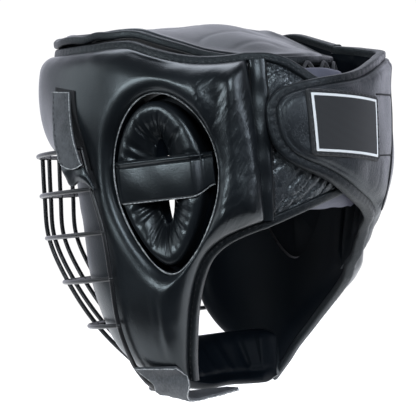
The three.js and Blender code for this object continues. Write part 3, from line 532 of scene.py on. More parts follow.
# %% [markdown] ## From arrays to pieces A piece is a list of patches, each a grid of points in millimetres.
# Patches that share a border get the same points there, so merging doubles closes the skin.

# %% Patches into one mesh
# in metres: points closer than this are one point, edges shorter than this are no edge
ONE_POINT, NO_EDGE = 2e-5, 1e-7
SHARP_FROM = 50


def grid_quads(rows, columns, ring):
    """Corner numbers of each cell of a grid; a ring joins the last column to the first."""
    across = np.arange(columns if ring else columns - 1)
    i, j = np.meshgrid(np.arange(rows - 1), across, indexing="ij")
    k = (j + 1) % columns
    cells = [i * columns + j, i * columns + k, (i + 1) * columns + k, (i + 1) * columns + j]
    return np.stack(cells, -1).reshape(-1, 4)


def closed_skin(mesh):
    """Merge the doubles of a mesh, drop what has no size, turn the faces outwards, count the open edges."""
    skin = bmesh.new()
    skin.from_mesh(mesh)
    bmesh.ops.remove_doubles(skin, verts=skin.verts, dist=ONE_POINT)
    bmesh.ops.dissolve_degenerate(skin, edges=skin.edges, dist=NO_EDGE)
    bmesh.ops.recalc_face_normals(skin, faces=skin.faces)
    open_edges = sum(not edge.is_manifold for edge in skin.edges)
    skin.to_mesh(mesh)
    skin.free()
    return open_edges


def put_piece(name, patches, finishes, node=None, sharp=SHARP_FROM, attribute=None):
    """Join patches into one closed mesh in metres. A patch is (points, ring) or (points, ring, finish number)."""
    points, quads, kinds, start = [], [], [], 0
    for patch in patches:
        grid, ring = np.asarray(patch[0], float), patch[1]
        cells = grid_quads(grid.shape[0], grid.shape[1], ring) + start
        points.append(grid.reshape(-1, 3))
        quads.append(cells)
        kinds.append(np.full(len(cells), patch[2] if len(patch) > 2 else 0))
        start += grid.shape[0] * grid.shape[1]
    mesh = bpy.data.meshes.new(name)
    mesh.from_pydata((np.concatenate(points) * MM).tolist(), [], np.concatenate(quads).tolist())
    mesh.polygons.foreach_set("material_index", np.concatenate(kinds).astype(np.int32))
    if attribute:
        layer = mesh.attributes.new(attribute[0], "FLOAT", "POINT")
        layer.data.foreach_set("value", np.concatenate([np.ravel(a) for a in attribute[1]]))
    open_edges = closed_skin(mesh)
    mesh.polygons.foreach_set("use_smooth", np.ones(len(mesh.polygons), bool))
    mesh.set_sharp_from_angle(angle=np.radians(sharp))
    for finish in finishes:
        mesh.materials.append(finish)
    piece = bpy.data.objects.new(name, mesh)
    bpy.context.scene.collection.objects.link(piece)
    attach(piece, "root")
    if node:
        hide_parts(node)
    print(f"{name}: {len(mesh.polygons)} faces, open edges {open_edges}")
    return piece


def strip(*lines):
    """A patch between lines of points, one row each."""
    return np.stack(lines)


print("cells of a 3 by 4 grid:", len(grid_quads(3, 4, False)), "as a ring:", len(grid_quads(3, 4, True)))

# %% [markdown]
# ## Outlines of the padded shell
# The shell is one padded wall from the forehead round to a seam behind each ear. Its edges are short tables on
# the chart. The left and right sides differ: the left rear is cut away for the closing flap.

# %% Shell outlines
BINDING_WIDTH = 5.5
SEAM_TURN = 139.3
BROW_TURN = 52.0
SIDES = ((1, "left"), (-1, "right"))
# turn, height
TOP_LEFT = [(0, 15), (20, 13), (38, 10.5), (64, 8), (78, 7.5), (90, 5.5), (102, -1), (112, -6.5), (122, -10.5),
            (132, -12), (139.3, -11.5)]
TOP_RIGHT = [(0, 15), (20, 13), (38, 10.5), (64, 8), (78, 6.5), (95, 7.5), (108, 10), (118, 9), (128, 3.5),
             (139.3, -4)]
NECK_LEFT = [(139.3, -131), (131, -135), (124, -140), (118, -147.5), (113.5, -159), (109, -178), (105.5, -200),
             (103, -218), (102, -229)]
NECK_RIGHT = [(139.3, -172), (132, -180), (124, -189), (116, -199), (108, -210), (100, -221), (94, -231),
              (89, -238)]
FACE_LEFT = [(81, -224.5), (70, -216), (61.5, -204), (56, -187), (53, -168), (52.5, -148), (53.5, -124),
             (54, -102), (52, -86)]
FACE_RIGHT = [(81, -228), (68, -217), (57, -205), (50.5, -191), (47, -176), (46.5, -158), (49, -136),
              (51.5, -108), (52, -86)]
BROW_EDGE = [(0, -62), (20, -62), (35, -64.5), (46, -72), (52, -86)]
EAR = {"u": 102 * MM_PER_DEGREE, "z": -86.0, "ahead": 41.5, "above": 54.0, "below": 69.0, "narrow": 0.3}
EAR_AIM = np.array([102 * MM_PER_DEGREE, -60.0])
ROUND = 2 * np.pi


def ear_point(angle, inset):
    """Egg outline on the chart: an oval taller below than above, drawn in towards its foot."""
    s, c = np.sin(angle), np.cos(angle)
    tall = np.where(s > 0, EAR["above"], EAR["below"])
    waist = 1 - EAR["narrow"] * np.maximum(-s, 0) ** 2
    return np.stack([EAR["u"] + (EAR["ahead"] - inset) * c * waist, EAR["z"] + (tall - inset) * s], -1)


def shell_lines(top, neck, cheek):
    """Rim, seam, nape, face and brow lines of one half, each inside the binding that it carries."""
    rim = shifted(curve_through(chart(top), 240), -BINDING_WIDTH)
    nape = shifted(curve_through(chart(neck), 160), -BINDING_WIDTH)
    rim[0, 0] = 0
    rim[-1, 0] = SEAM_TURN * MM_PER_DEGREE
    nape[0, 0] = SEAM_TURN * MM_PER_DEGREE
    face = curve_through(np.vstack([nape[-1:], chart(cheek)]), 200)
    brow = curve_through(chart(BROW_EDGE)[::-1], 100)
    return {"rim": rim, "seam": np.stack([rim[-1], nape[0]]), "nape": nape, "face": face, "brow": brow}


EAR_LOOP = ear_point(np.linspace(0, ROUND, 181), 0.0)
LINES = {1: shell_lines(TOP_LEFT, NECK_LEFT, FACE_LEFT), -1: shell_lines(TOP_RIGHT, NECK_RIGHT, FACE_RIGHT)}
print({side: {k: len(v) for k, v in lines.items()} for side, lines in LINES.items()})

# %% [markdown]
# ## Padded shell
# The padding is full in the middle and rolls down to every sewn edge, like a pillow. The roll is a quarter of an
# oval. Where two rolls meet, the cube root of the sum of their cubed depths keeps the corner soft. The puff, the
# pull of the stitches and the folds behind the ear are worked out directly from the distance to each edge,
# because the wall is thick and keeps its shape.

# %% Rolls of the padding
SHELL_THICK = 28.0
# how far in from each edge the padding is full; the rim's own width changes along it
ROLL_WIDTHS = {"seam": 15, "nape": 16, "face": 44, "brow": 62}
RIGHT_SEAM_ROLL = 26
RIM_ROLL = {"front": 10, "more": 8, "turns": (35, 75)}
# height of the padding at each edge
EDGE_HEIGHTS = {"rim": 12, "seam": 12.5, "nape": 11, "face": 10, "brow": 11}
RIM_STAND = {"out": 8.0, "turns": (98, 134)}
# rim and rolled edge of the ear opening
EAR_RIM, EAR_ROLL = 19.0, 13
# how far the lining curls out at the open face and at the sewn edges, and over what width
FACE_CURL, FACE_CURL_WIDTH = 9.5, 13
EDGE_TUCK, EDGE_TUCK_WIDTH = 4.0, 14
# the lower rear corner of the right half is thinner
FAR_CORNER = {"thinner": 4, "reach": 20}
LEAST_WALL = 0.4
FULL_FOLDS_FROM_EDGE = 3


def roll(distance, width, low, high):
    """Quarter oval from a low edge up to full height over a width."""
    s = 1 - np.clip(distance / width, 0, 1)
    return low + (high - low) * np.sqrt(np.maximum(1 - s * s, 0))


def rim_stand(u):
    """The rim stands well out over the forehead and draws in towards the rear seam."""
    return RIM_STAND["out"] * (1 - ease(u / MM_PER_DEGREE, *RIM_STAND["turns"]))


def roll_width(name, u, side):
    """Width of an edge's roll: sharp at the top of the forehead, slower above the ear, wide at the right seam."""
    if name == "rim":
        return RIM_ROLL["front"] + RIM_ROLL["more"] * ease(u / MM_PER_DEGREE, *RIM_ROLL["turns"])
    return RIGHT_SEAM_ROLL if name == "seam" and side < 0 else ROLL_WIDTHS[name]


print("rim roll at the front and above the ear:", roll_width("rim", chart([(0, 0), (90, 0)])[:, 0], 1).tolist())

# %% Folds of the padding
# turns and heights between which the folds come in and go out
EAR_FOLD_TURNS, EAR_FOLD_LEVELS = ((118, 126), (136, 140)), ((-150, -115), (-40, -15))
PLEAT_TURNS, PLEAT_LEVELS = (88, 96), ((-225, -200), (-165, -150))
WORN_TURNS, WORN_LEVELS = (108, 124), ((-165, -140), (-45, -20))
WORN = 0.8
FOLD_LEVEL = 20
DIAGONAL = 0.7


def shell_folds(u, z, side, near):
    """Small relief in mm: slow unevenness, puckers at sewn edges, slanting folds behind the ear, pleats below."""
    p = on_form(u, z, FOLD_LEVEL, side)
    turn = u / MM_PER_DEGREE
    slow = 0.55 * ripples(p, 52, 3)
    pucker = 0.2 * np.exp(-near / 6) * ripples(p, 15, 5)
    behind = window(turn, *EAR_FOLD_TURNS) * window(z, *EAR_FOLD_LEVELS)
    slant = np.stack([(u - z) * DIAGONAL, (u + z) * DIAGONAL * 0.22, 0 * u], -1)
    upright = ripples(np.stack([u, z * 0.12, 0 * u], -1), 13, 11)
    folds = behind * (0.8 * upright - 0.3 * creases(slant, 7, 13, width=0.5))
    below = ease(turn, *PLEAT_TURNS) * window(z, *PLEAT_LEVELS)
    pleats = 0.35 * below * ripples(np.stack([u, z * 0.15, 0 * u], -1), 8, 17)
    return slow + pucker + folds + pleats


def worn_behind_ear(u, z):
    """How wrinkled the hide is: fully behind the ear, fading towards the cheek, the crown and the neck."""
    return WORN * ease(u / MM_PER_DEGREE, *WORN_TURNS) * window(z, *WORN_LEVELS)


def padding(u, z, side):
    """Outer and inner distance of the wall: full thickness less the cubic mean of every edge's roll."""
    lines = LINES[side]
    depth, inside, near = np.zeros_like(u), np.zeros_like(u), np.full_like(u, np.inf)
    for name, low in EDGE_HEIGHTS.items():
        d = chart_distance(u, z, lines[name])
        near = np.minimum(near, d)
        stand = rim_stand(u) if name == "rim" else 0.0
        depth = depth + (SHELL_THICK - roll(d, roll_width(name, u, side), low + stand, SHELL_THICK)) ** 3
        if name in ("face", "brow"):
            curl = FACE_CURL - roll(d, FACE_CURL_WIDTH, 0.0, FACE_CURL)
        else:
            curl = (EDGE_TUCK + stand) * np.maximum(1 - d / EDGE_TUCK_WIDTH, 0) ** 2
        inside = np.maximum(inside, curl)
    d = chart_distance(u, z, EAR_LOOP)
    depth = depth + (SHELL_THICK - roll(d, EAR_ROLL, EAR_RIM, SHELL_THICK)) ** 3
    out = SHELL_THICK - np.cbrt(depth)
    if side < 0:
        corner = lines["nape"][0]
        out = out - FAR_CORNER["thinner"] * bell(np.hypot(u - corner[0], z - corner[1]), 0, FAR_CORNER["reach"])
    fade = ease(np.minimum(near, d), 0, FULL_FOLDS_FROM_EDGE)
    out = out + shell_folds(u, z, side, near) * fade
    return out, np.minimum(inside, out - LEAST_WALL)


print("cheek padding:", np.round(padding(np.array([70 * MM_PER_DEGREE]), np.array([-150.0]), 1), 1).tolist())

# %% [markdown]
# ## Shell surface
# The forehead is a plain grid of columns from the middle to the temple. Each side is a ring of spokes, from the
# ear opening out to the shell's edge, so that the cells follow both outlines. The outer skin, the lining and the
# strips that close the edges share their borders.

# %% Shell grids
BROW_ROWS = close_ends(46)
BROW_COLUMNS = np.linspace(0, BROW_TURN, 56) * MM_PER_DEGREE
OUTER_RINGS, INNER_RINGS = close_ends(46), close_ends(16)
# points of the side's outline along each line
OUTLINE_STEPS = {"rim": 120, "seam": 44, "nape": 70, "face": 110}


def rim_height(u, side):
    """Height of the rim line above a place across the chart."""
    return np.interp(u, LINES[side]["rim"][:, 0], LINES[side]["rim"][:, 1])


def forehead_grid(side):
    """Columns from the middle to the temple, rows from the brow edge to the rim."""
    low = smooth_rows(BROW_EDGE, BROW_COLUMNS / MM_PER_DEGREE)[:, 0]
    high = rim_height(BROW_COLUMNS, side)
    z = low[:, None] + (high - low)[:, None] * BROW_ROWS
    return np.broadcast_to(BROW_COLUMNS[:, None], z.shape).copy(), z


def side_loop(side):
    """Closed outline of the side: rim, seam, nape and face lines, then the temple column up to the rim."""
    start = BROW_TURN * MM_PER_DEGREE
    whole_rim = LINES[side]["rim"]
    rim = np.vstack([[[start, rim_height(start, side)]], whole_rim[whole_rim[:, 0] > start + 1]])
    temple = np.stack([grid[-1] for grid in forehead_grid(side)], -1)
    lines = {**LINES[side], "rim": rim}
    parts = [resample(lines[name], steps) for name, steps in OUTLINE_STEPS.items()] + [temple]
    return np.vstack([part[:-1] for part in parts]), len(temple) - 1


def ear_reach(points):
    """For each outline point, the ear loop's point in the same direction from the ear's middle."""
    loop = EAR_LOOP[:-1]
    angle = np.arctan2(loop[:, 1] - EAR_AIM[1], loop[:, 0] - EAR_AIM[0])
    order = np.argsort(angle)
    aim = np.arctan2(points[:, 1] - EAR_AIM[1], points[:, 0] - EAR_AIM[0])
    return np.stack([np.interp(aim, angle[order], loop[order, k], period=ROUND) for k in (0, 1)], -1)


def shell_half(side):
    """Patches of one half: outer and inner skins of forehead and side, and the strips that close their edges."""
    u, z = forehead_grid(side)
    outer, inner = [on_form(u, z, out, side) for out in padding(u, z, side)]
    brow_and_rim = [(strip(outer[:, k], inner[:, k]), False) for k in (0, -1)]
    # the inside takes the near-black lining, darker than the hide as painted shade
    patches = [(outer, False), (inner, False, 1)] + brow_and_rim
    marks = [np.zeros(patch[0].shape[:2]) for patch in patches]
    loop, shared = side_loop(side)
    foot = ear_reach(loop)
    skins = []
    for layer, rings in enumerate((OUTER_RINGS, INNER_RINGS)):
        u, z = np.moveaxis(foot + (loop - foot) * rings[:, None, None], -1, 0)
        skins.append(on_form(u, z, padding(u, z, side)[layer], side))
        patches.append((skins[-1], True, layer))
        marks.append(worn_behind_ear(u, z) * (layer == 0))
    sewn = np.arange(len(loop) - shared + 1)
    # the wall of the ear opening takes the near-black lining finish: painted shade in the recess
    ear_edge = (strip(skins[0][0], skins[1][0]), True, 1)
    sewn_edge = (strip(skins[0][-1][sewn], skins[1][-1][sewn]), False)
    marks += [np.zeros(patch[0].shape[:2]) for patch in (ear_edge, sewn_edge)]
    return patches + [ear_edge, sewn_edge], marks


left_half, right_half = shell_half(1), shell_half(-1)
put_piece("padded_shell_skin", left_half[0] + right_half[0], [HIDE, LINING_AND_SHADE], "padded_shell",
          attribute=("worn", left_half[1] + right_half[1]))

# %% [markdown]
# ## Ear pads
# Each ear pad is a soft ring set a little forward on a flat flange, dished towards a slot. The leather is gathered
# into the slot, so pleats run out from it like spokes. The section is one smooth curve, carried round the ear.

# %% Ear pad rings
EAR_SLOT = {"u": 99.5 * MM_PER_DEGREE, "z": -91.5, "wide": 7.5, "tall": 28.5}
# the narrower way through the back of the pad
EAR_WAY = {"u": EAR_SLOT["u"] + 3.0, "z": -98.5, "wide": 3.8, "tall": 24.0}
# share of the way from the ring's foot to the slot, distance out
RING_SECTION = [(0, 5.4), (0.004, 11.5), (0.022, 16.6), (0.075, 19.2), (0.18, 20.3),
                (0.32, 19.9), (0.53, 17.4), (0.75, 12.8), (0.9, 8.8), (0.97, 7.6), (1.0, 6.4)]
RING_WIDTH = np.array([30, 1])
FLANGE_UNDER, FLANGE_OUT, FLANGE_INSET = 2.5, 5.0, 0.95
# flange in front of and behind the ring: the mean, and how much it changes
RING_INSET, RING_FORWARD = 5.3, 3.8
# the strap across the ring presses it down: middle of the strap, how far it reaches, how deep
EAR_STRAP_MIDDLE, STRAP_REACH, STRAP_PRESS = -90.0, 16, 1.9
RING_CREST = 20.6
SPOKE_RADIUS, SPOKE_RISE, SPOKE_LIMIT = 38, 0.55, 0.6


def slot_line(slot, angle):
    """Oval on the chart: a slot's middle, with half its width and height."""
    return slot["u"] + slot["wide"] * np.cos(angle), slot["z"] + slot["tall"] * np.sin(angle)


def ear_pad(side, word):
    """Rows run from the flange's underside over the ring to the slot; columns run round the ear."""
    angle = np.linspace(0, ROUND, 260, endpoint=False)
    rim = ear_point(angle, FLANGE_INSET).T
    foot = ear_point(angle, RING_INSET + RING_FORWARD * np.cos(angle))
    slot = np.stack(slot_line(EAR_SLOT, angle), -1)
    section = curve_through(np.asarray(RING_SECTION) * RING_WIDTH, 64) / RING_WIDTH
    share, out = section[:, :1], section[:, 1:]
    circle = SPOKE_RADIUS * np.stack([np.cos(angle), np.sin(angle), 0 * angle], -1)
    spokes = ripples(circle, 5.2, 23) + 0.7 * ripples(circle, 9.5, 29)
    gather = window(share, (0.1, 0.6), (0.94, 1.0))
    ring = foot + (slot - foot) * share[..., None]
    pressed = STRAP_PRESS * np.exp(-(((ring[..., 1] - EAR_STRAP_MIDDLE) / STRAP_REACH) ** 6))
    out = np.minimum(out + SPOKE_RISE * gather * np.minimum(spokes, SPOKE_LIMIT), RING_CREST - pressed)
    under, over = on_form(*rim, FLANGE_UNDER, side), on_form(*rim, FLANGE_OUT, side)
    body = on_form(ring[..., 0], ring[..., 1], out, side)
    flange = strip(under, over, on_form(*foot.T, FLANGE_OUT, side), body[0])
    lip = on_form(*slot_line(EAR_WAY, angle), FLANGE_UNDER, side)
    # the flange and the slot's walls take the near-black lining finish: painted shade in the ear's recess
    patches = [(flange, True, 1), (body, True), (strip(body[-1], lip), True, 1), (strip(lip, under), True, 1)]
    return put_piece(f"ear_ring_{word}", patches, [HIDE, LINING_AND_SHADE], f"ear_pad_{word}", sharp=65)


for side, word in SIDES:
    ear_pad(side, word)

# %% [markdown]
# ## Tubes
# Wire, cord, piping and lace are all a circle carried along a line. The circle needs two directions square to
# the line at every point. One direction comes from the line's own way and a fixed direction that the line hardly
# follows, so no step depends on the one before it. The pale cut edge round each ear opening is the first tube.

# %% A tube along a line
OFF_AXIS = 0.05


def end_cap(ring, middle):
    """Fan that closes a ring of points: the ring, then its middle as often as the ring has points."""
    return np.stack([ring, np.repeat(middle[None], len(ring), 0)])


def tube(line, radius, sides=12, closed=False):
    """Circle carried along a line: its two square directions come from the tangent and one fixed direction."""
    line = np.asarray(line, float)
    way = unit(np.roll(line, -1, 0) - np.roll(line, 1, 0) if closed else np.gradient(line, axis=0))
    least_followed = np.argmin(np.abs(way).mean(0))
    first = unit(np.cross(way, np.eye(3)[least_followed] + OFF_AXIS))
    second = np.cross(way, first)
    a = np.linspace(0, ROUND, sides, endpoint=False)[:, None]
    ring = np.cos(a)[None] * first[:, None] + np.sin(a)[None] * second[:, None]
    skin = line[:, None] + np.reshape(radius, (-1, 1, 1)) * ring
    if closed:
        return [(np.concatenate([skin, skin[:1]]), True)]
    return [(skin, True)] + [(end_cap(skin[k], line[k]), True) for k in (0, -1)]


# radius, how much it wavers, and how far the piping lies from the opening's edge
PIPING, PIPING_WAVER, PIPING_SET = 0.42, 0.14, 0.35


def ear_piping(side, word):
    """A pale cut edge round the ear opening, where the flange's hide meets the shell."""
    loop = ear_point(np.linspace(0, ROUND, 240, endpoint=False), PIPING_SET)
    line = on_form(loop[:, 0], loop[:, 1], EAR_RIM + PIPING_SET, side)
    thick = PIPING + PIPING_WAVER * ripples(line, 24, 31)
    return put_piece(f"ear_piping_{word}", tube(line, thick, 8, True), [RAW_EDGE])


for side, word in SIDES:
    ear_piping(side, word)

# %% [markdown]
# ## Ear straps
# A wide flat strap crosses each ear pad and holds the ring down. It lies on the ring's crest and bends down to
# the flange at both ends. A welt runs along its upper edge. A band between two grids is all it takes: the lower
# grid lies on the ring, and the upper one stands out from it by the strap's thickness.

# %% Ear straps
STRAP_THICK = 2.6
EAR_STRAP = {"from": 80.2, "to": 123.6, "top": -75.5, "bottom": -104.5, "out": 19.8}
# places across the chart where the strap curls up, drops behind the ring, and rises from the front flange
CURL_FROM, DROP_BEHIND, RISE_IN_FRONT = (199, 216), (203, 211), (139.5, 146)
STRAP_CURL, REAR_DROP, FRONT_DROP = 7, 5.4, 2.6
EAR_WELT, EAR_WELT_VALLEY = (0.93, 0.04), (0.85, 0.022)


def band_patches(under, over):
    """Closed band between a lower and an upper grid: both faces and the four edges."""
    edges = [strip(under[0], over[0]), strip(under[-1], over[-1]), strip(under[:, 0], over[:, 0]),
             strip(under[:, -1], over[:, -1])]
    return [(under, False), (over, False)] + [(edge, False) for edge in edges]


def ear_strap(side, word):
    """Height out along the strap: level on the ring, eased down to the flange at both ends, plus a welt."""
    u = np.linspace(EAR_STRAP["from"], EAR_STRAP["to"], 100)[:, None] * MM_PER_DEGREE
    v = np.linspace(0, 1, 46)[None]
    low = EAR_STRAP["bottom"] + STRAP_CURL * ease(u, *CURL_FROM) ** 1.5
    z = low + (EAR_STRAP["top"] - low) * v
    drop = REAR_DROP * ease(u, *DROP_BEHIND) + FRONT_DROP * (1 - ease(u, *RISE_IN_FRONT))
    lift = EAR_STRAP["out"] - drop
    thin_edge = 1.1 * (1 - roll(np.minimum(v, 1 - v), 0.06, 0, 1))
    welt = bell(v, *EAR_WELT) - 0.8 * bell(v, *EAR_WELT_VALLEY)
    u = u + 0 * v
    under = on_form(u, z, lift, side)
    thick = STRAP_THICK - thin_edge + 0.9 * np.sin(np.pi * v) + welt + 0.16 * ripples(under, 26, 41)
    over = on_form(u, z, lift + thick, side)
    patches = band_patches(under, over) + [(skin, ring, 1) for skin, ring in tube(over[4:, 0], 0.5, 8)]
    return put_piece(f"ear_band_{word}", patches, [HIDE, RAW_EDGE], f"ear_strap_{word}")


for side, word in SIDES:
    ear_strap(side, word)

# %% [markdown]
# ## Back tongues
# Behind the ears the shell ends in a seam. From the left seam a tongue reaches round the back of the head. From
# the right seam a wider flap comes over it and closes on hook and loop tape. Both are thin pillows with bound
# edges. The left tongue is the most creased leather on the helmet, and a soft lining swells past its bound
# edges, above and below; its pale lavender colour is a painted sheen of light on a black lining. Both outlines
# are short tables, like the shell's.

# %% Tongue outlines
FULL_TURN = 360
FAR_SEAM_TURN = FULL_TURN - SEAM_TURN
# from a tongue's cut edge in to its pillow
EDGE = BINDING_WIDTH + 0.1
# turn, height
REAR_TOP = [(139.3, -11.5), (146, -13), (151, -17), (156, -24), (161, -31), (175, -40), (190, -46), (197, -54),
            (200, -64)]
REAR_BOTTOM = [(139.3, -131), (145, -128), (151, -124.5), (160, -119.5), (168, -115.5), (178, -111),
               (190, -105), (197, -95), (200, -84)]
FLAP_TOP = [(143, -51), (144.2, -45), (147, -39.5), (151.5, -36), (159, -33.5), (174, -30), (181, -27),
            (188, -22.5), (198, -17), (210, -10), (220.7, -4)]
FLAP_BOTTOM = [(143, -66), (144.2, -76), (147, -85), (151.5, -92), (159, -99.5), (174, -115.5), (188, -126),
               (200, -139), (211, -156), (220.7, -172)]
FLAP_LINE = shifted(curve_through(np.vstack([chart(FLAP_TOP)[::-1], chart(FLAP_BOTTOM)]), 600), EDGE)
FLAP_TIP = int(np.argmin(FLAP_LINE[:, 0]))
FLAP_TIP_TURN = FLAP_LINE[FLAP_TIP, 0] / MM_PER_DEGREE
# the flap runs a little past the seam, and its columns lie closer together round the tip
FLAP_END = 221.2
FLAP_TURNS = FLAP_TIP_TURN + np.concatenate(
    [12 * np.linspace(0, 1, 44) ** 2, np.linspace(12.4, FLAP_END - FLAP_TIP_TURN, 130)])
REAR_TURNS = np.linspace(SEAM_TURN + 0.35, 199.2, 120)


def rear_low(turn):
    """Lower edge of the left tongue's pillow: the table's height plus the binding."""
    return smooth_rows(REAR_BOTTOM, turn)[..., 0] + EDGE


def rear_high(turn):
    """Upper edge of the left tongue's pillow: the table's height less the binding."""
    return smooth_rows(REAR_TOP, turn)[..., 0] - EDGE


def flap_low(turn):
    """Lower edge of the flap's pillow: its outline from the tip on."""
    return np.interp(np.asarray(turn) * MM_PER_DEGREE, *FLAP_LINE[FLAP_TIP:].T)


def flap_high(turn):
    """Upper edge of the flap's pillow: its outline from the tip back to the start."""
    return np.interp(np.asarray(turn) * MM_PER_DEGREE, *FLAP_LINE[FLAP_TIP::-1].T)


def chart_line(turns, z):
    """Line on the chart through turns and heights."""
    return np.stack([turns * MM_PER_DEGREE, z + 0 * turns], -1)


print("flap's tip at turn", round(FLAP_TIP_TURN, 1), "columns:", len(FLAP_TURNS))

# %% Reliefs of the tongues
# turn, inside of the flap out from the form
FLAP_INSIDE = [(143, 13), (190, 13), (200, 14.5), (206, 14), (213, 7), (220.7, 1)]
# the flap flares out at its far top corner and is drawn in below: how far, and between which turns and heights
FLAP_FLARE, FLARE_TURNS, FLARE_LEVELS = 6.0, ((197, 207), (214, 220)), (-48, -12)
FLAP_DRAW_IN, DRAW_IN_TURNS, DRAW_IN_DEPTHS = 6.0, ((193, 203), (206, 215)), (95, 140)
# height, turn of the flap's upright seam; then the heights of the seams that run to it from the label
FLAP_SEAM = [(-172, 189.5), (-105, 194.8), (-46, 199.8), (0, 203.5)]
FLAP_CROSS_SEAMS = (-46.5, -88.5)
CROSS_SEAM_FROM = 184
QUILT_FROM, QUILT_PITCH = 200, 6.6


def flap_inside(turn, z):
    """Inside of the flap out from the form: over the left tongue, flared at the far top corner, drawn in below."""
    flare = FLAP_FLARE * ease(z, *FLARE_LEVELS) * window(turn, *FLARE_TURNS)
    draw_in = FLAP_DRAW_IN * ease(-np.asarray(z), *DRAW_IN_DEPTHS) * window(turn, *DRAW_IN_TURNS)
    return smooth_rows(FLAP_INSIDE, turn)[..., 0] + flare - draw_in


def quilt(turn):
    """Sewn channels on the inside of the flap, open towards the rear seam: 1 between seams, 0 at a seam."""
    channels = np.abs(np.sin(np.pi * (turn - QUILT_FROM) / QUILT_PITCH)) ** 0.5
    return channels * ease(turn, QUILT_FROM, QUILT_FROM + 3)


def seam_turn(z):
    """Turn of the flap's upright seam at a height, straight between its table's rows."""
    return np.interp(z, *np.asarray(FLAP_SEAM, float).T)


def groove(distance, width, depth):
    """Rounded valley along a line."""
    return -depth * bell(distance, 0, width)


def rear_relief(turn, z):
    """Crushed leather: crossing creases, deepest towards the lower edge, over a slow swell."""
    p = form(turn, z, 12)
    fan = np.stack([p[..., 0] + 0.6 * p[..., 2], p[..., 1] * 0.5, p[..., 2] * 0.35], -1)
    deep = 0.9 + 1.1 * ease(-z, 70, 120)
    crushed = deep * creases(fan, 11, 53, width=0.4) + 0.6 * creases(p, 7, 57, width=0.4)
    return 0.5 * ripples(p, 30, 51) - crushed


def flap_relief(turn, z, near):
    """Stitch line beside the binding, upright seam and cross seams behind the label, slow swell."""
    upright = (turn - seam_turn(z)) * MM_PER_DEGREE
    cross = np.min([np.abs(z - level) for level in FLAP_CROSS_SEAMS], axis=0)
    within = ease(turn, CROSS_SEAM_FROM - 1, CROSS_SEAM_FROM) * (1 - ease(upright, -0.5, 0.5))
    folds = creases(np.stack([turn * 1.9, z * 0.3, 0 * z], -1), 16, 61, width=0.6)
    off_label = np.clip(ease(-z, 88, 100) + ease(z, -45, -35), 0, 1)
    seams = groove(near - 2.4, 0.9, 0.55) + groove(upright, 1.1, 1.2) + within * groove(cross, 0.9, 0.8)
    return 0.35 * ripples(form(turn, z, 24), 40, 63) + seams - 0.2 * folds * off_label


print("flap's inside at the seam:", round(float(flap_inside(FAR_SEAM_TURN, -60)), 2), "mm out")

# %% Tongue surfaces
PANEL_EDGE = 7.0
REAR_THICK, FLAP_THICK = 12.0, 12.5
REAR_ROLL, FLAP_ROLL = 14, 7
REAR_LIFT = 0.2
FULL_RELIEF_FROM_EDGE = 2.5
QUILT_DEPTH, QUILT_EDGE = 2.6, (2, 10)
TONGUE_ROWS, TIP_POINTS = 64, 9


def tongue_grid(turns, low, high):
    """Columns at given turns, rows from the lower edge up, closer together at both edges."""
    v = close_ends(TONGUE_ROWS)[None]
    a, b = low(turns)[:, None], high(turns)[:, None]
    return turns[:, None] + 0 * v, a + (b - a) * v


def pillow(turn, z, near, lift, relief, width, thick, sunk=0.0):
    """Outer skin rolls up from the edge and carries the relief; the lining lies at the lift, less what is sunk."""
    height = roll(near, width, PANEL_EDGE, thick) + relief * ease(near, 0, FULL_RELIEF_FROM_EDGE)
    lining, *rest = band_patches(form(turn, z, lift - sunk), form(turn, z, lift + height))
    # the tongue's inner face takes the near-black lining, darker than the hide as painted shade
    return [(*lining, 1), *rest]


def rear_pillow():
    """The left tongue: the distance to its edge is the least one to its tip, upper and lower lines."""
    turn, z = tongue_grid(REAR_TURNS, rear_low, rear_high)
    tip = REAR_TURNS[-1]
    tip_line = chart_line(np.full(TIP_POINTS, tip), np.linspace(rear_low(tip), rear_high(tip), TIP_POINTS))
    lines = [tip_line] + [chart_line(REAR_TURNS, edge(REAR_TURNS)) for edge in (rear_high, rear_low)]
    near = np.minimum.reduce([chart_distance(turn * MM_PER_DEGREE, z, line) for line in lines])
    return pillow(turn, z, near, REAR_LIFT, rear_relief(turn, z), REAR_ROLL, REAR_THICK)


def flap_pillow():
    """The flap: its lining is sunk between the sewn channels, away from the edge."""
    turn, z = tongue_grid(FLAP_TURNS, flap_low, flap_high)
    near = chart_distance(turn * MM_PER_DEGREE, z, FLAP_LINE)
    sunk = QUILT_DEPTH * quilt(turn) * ease(near, *QUILT_EDGE)
    return pillow(turn, z, near, flap_inside(turn, z), flap_relief(turn, z, near), FLAP_ROLL, FLAP_THICK, sunk)


# free edges of the soft lining: its height below, then rows of turn and height above
LINING_LOW, LINING_WAVER = -121.0, 0.3
LINING_HIGH = [(160, -25), (168, -25.2), (176, -26.5), (184, -30), (198, -52)]
LINING_TURNS = np.linspace(160, 198, 90)
# how far it reaches behind and past the bound edge at least, and how far it swells below and above
LINING_LAP, SWELL_BELOW, SWELL_ABOVE = 2, 6.5, 3.0


def soft_edge(turns, bound, free, bulge):
    """Soft lining that swells past a bound edge: from under the edge to its own free height, round at the end."""
    v = np.linspace(0, 1, 24)[None]
    turn = turns[:, None] + 0 * v
    z = bound[:, None] + (free - bound)[:, None] * v
    swell = bulge * np.sqrt(np.maximum(1 - v ** 2, 0)) * ease(v, 0, 0.2)
    # finish 2 is the pale lavender lining: a painted sheen of light
    return [(*patch[:2], 2) for patch in band_patches(form(turn, z, 0.0), form(turn, z, 0.6 + swell))]


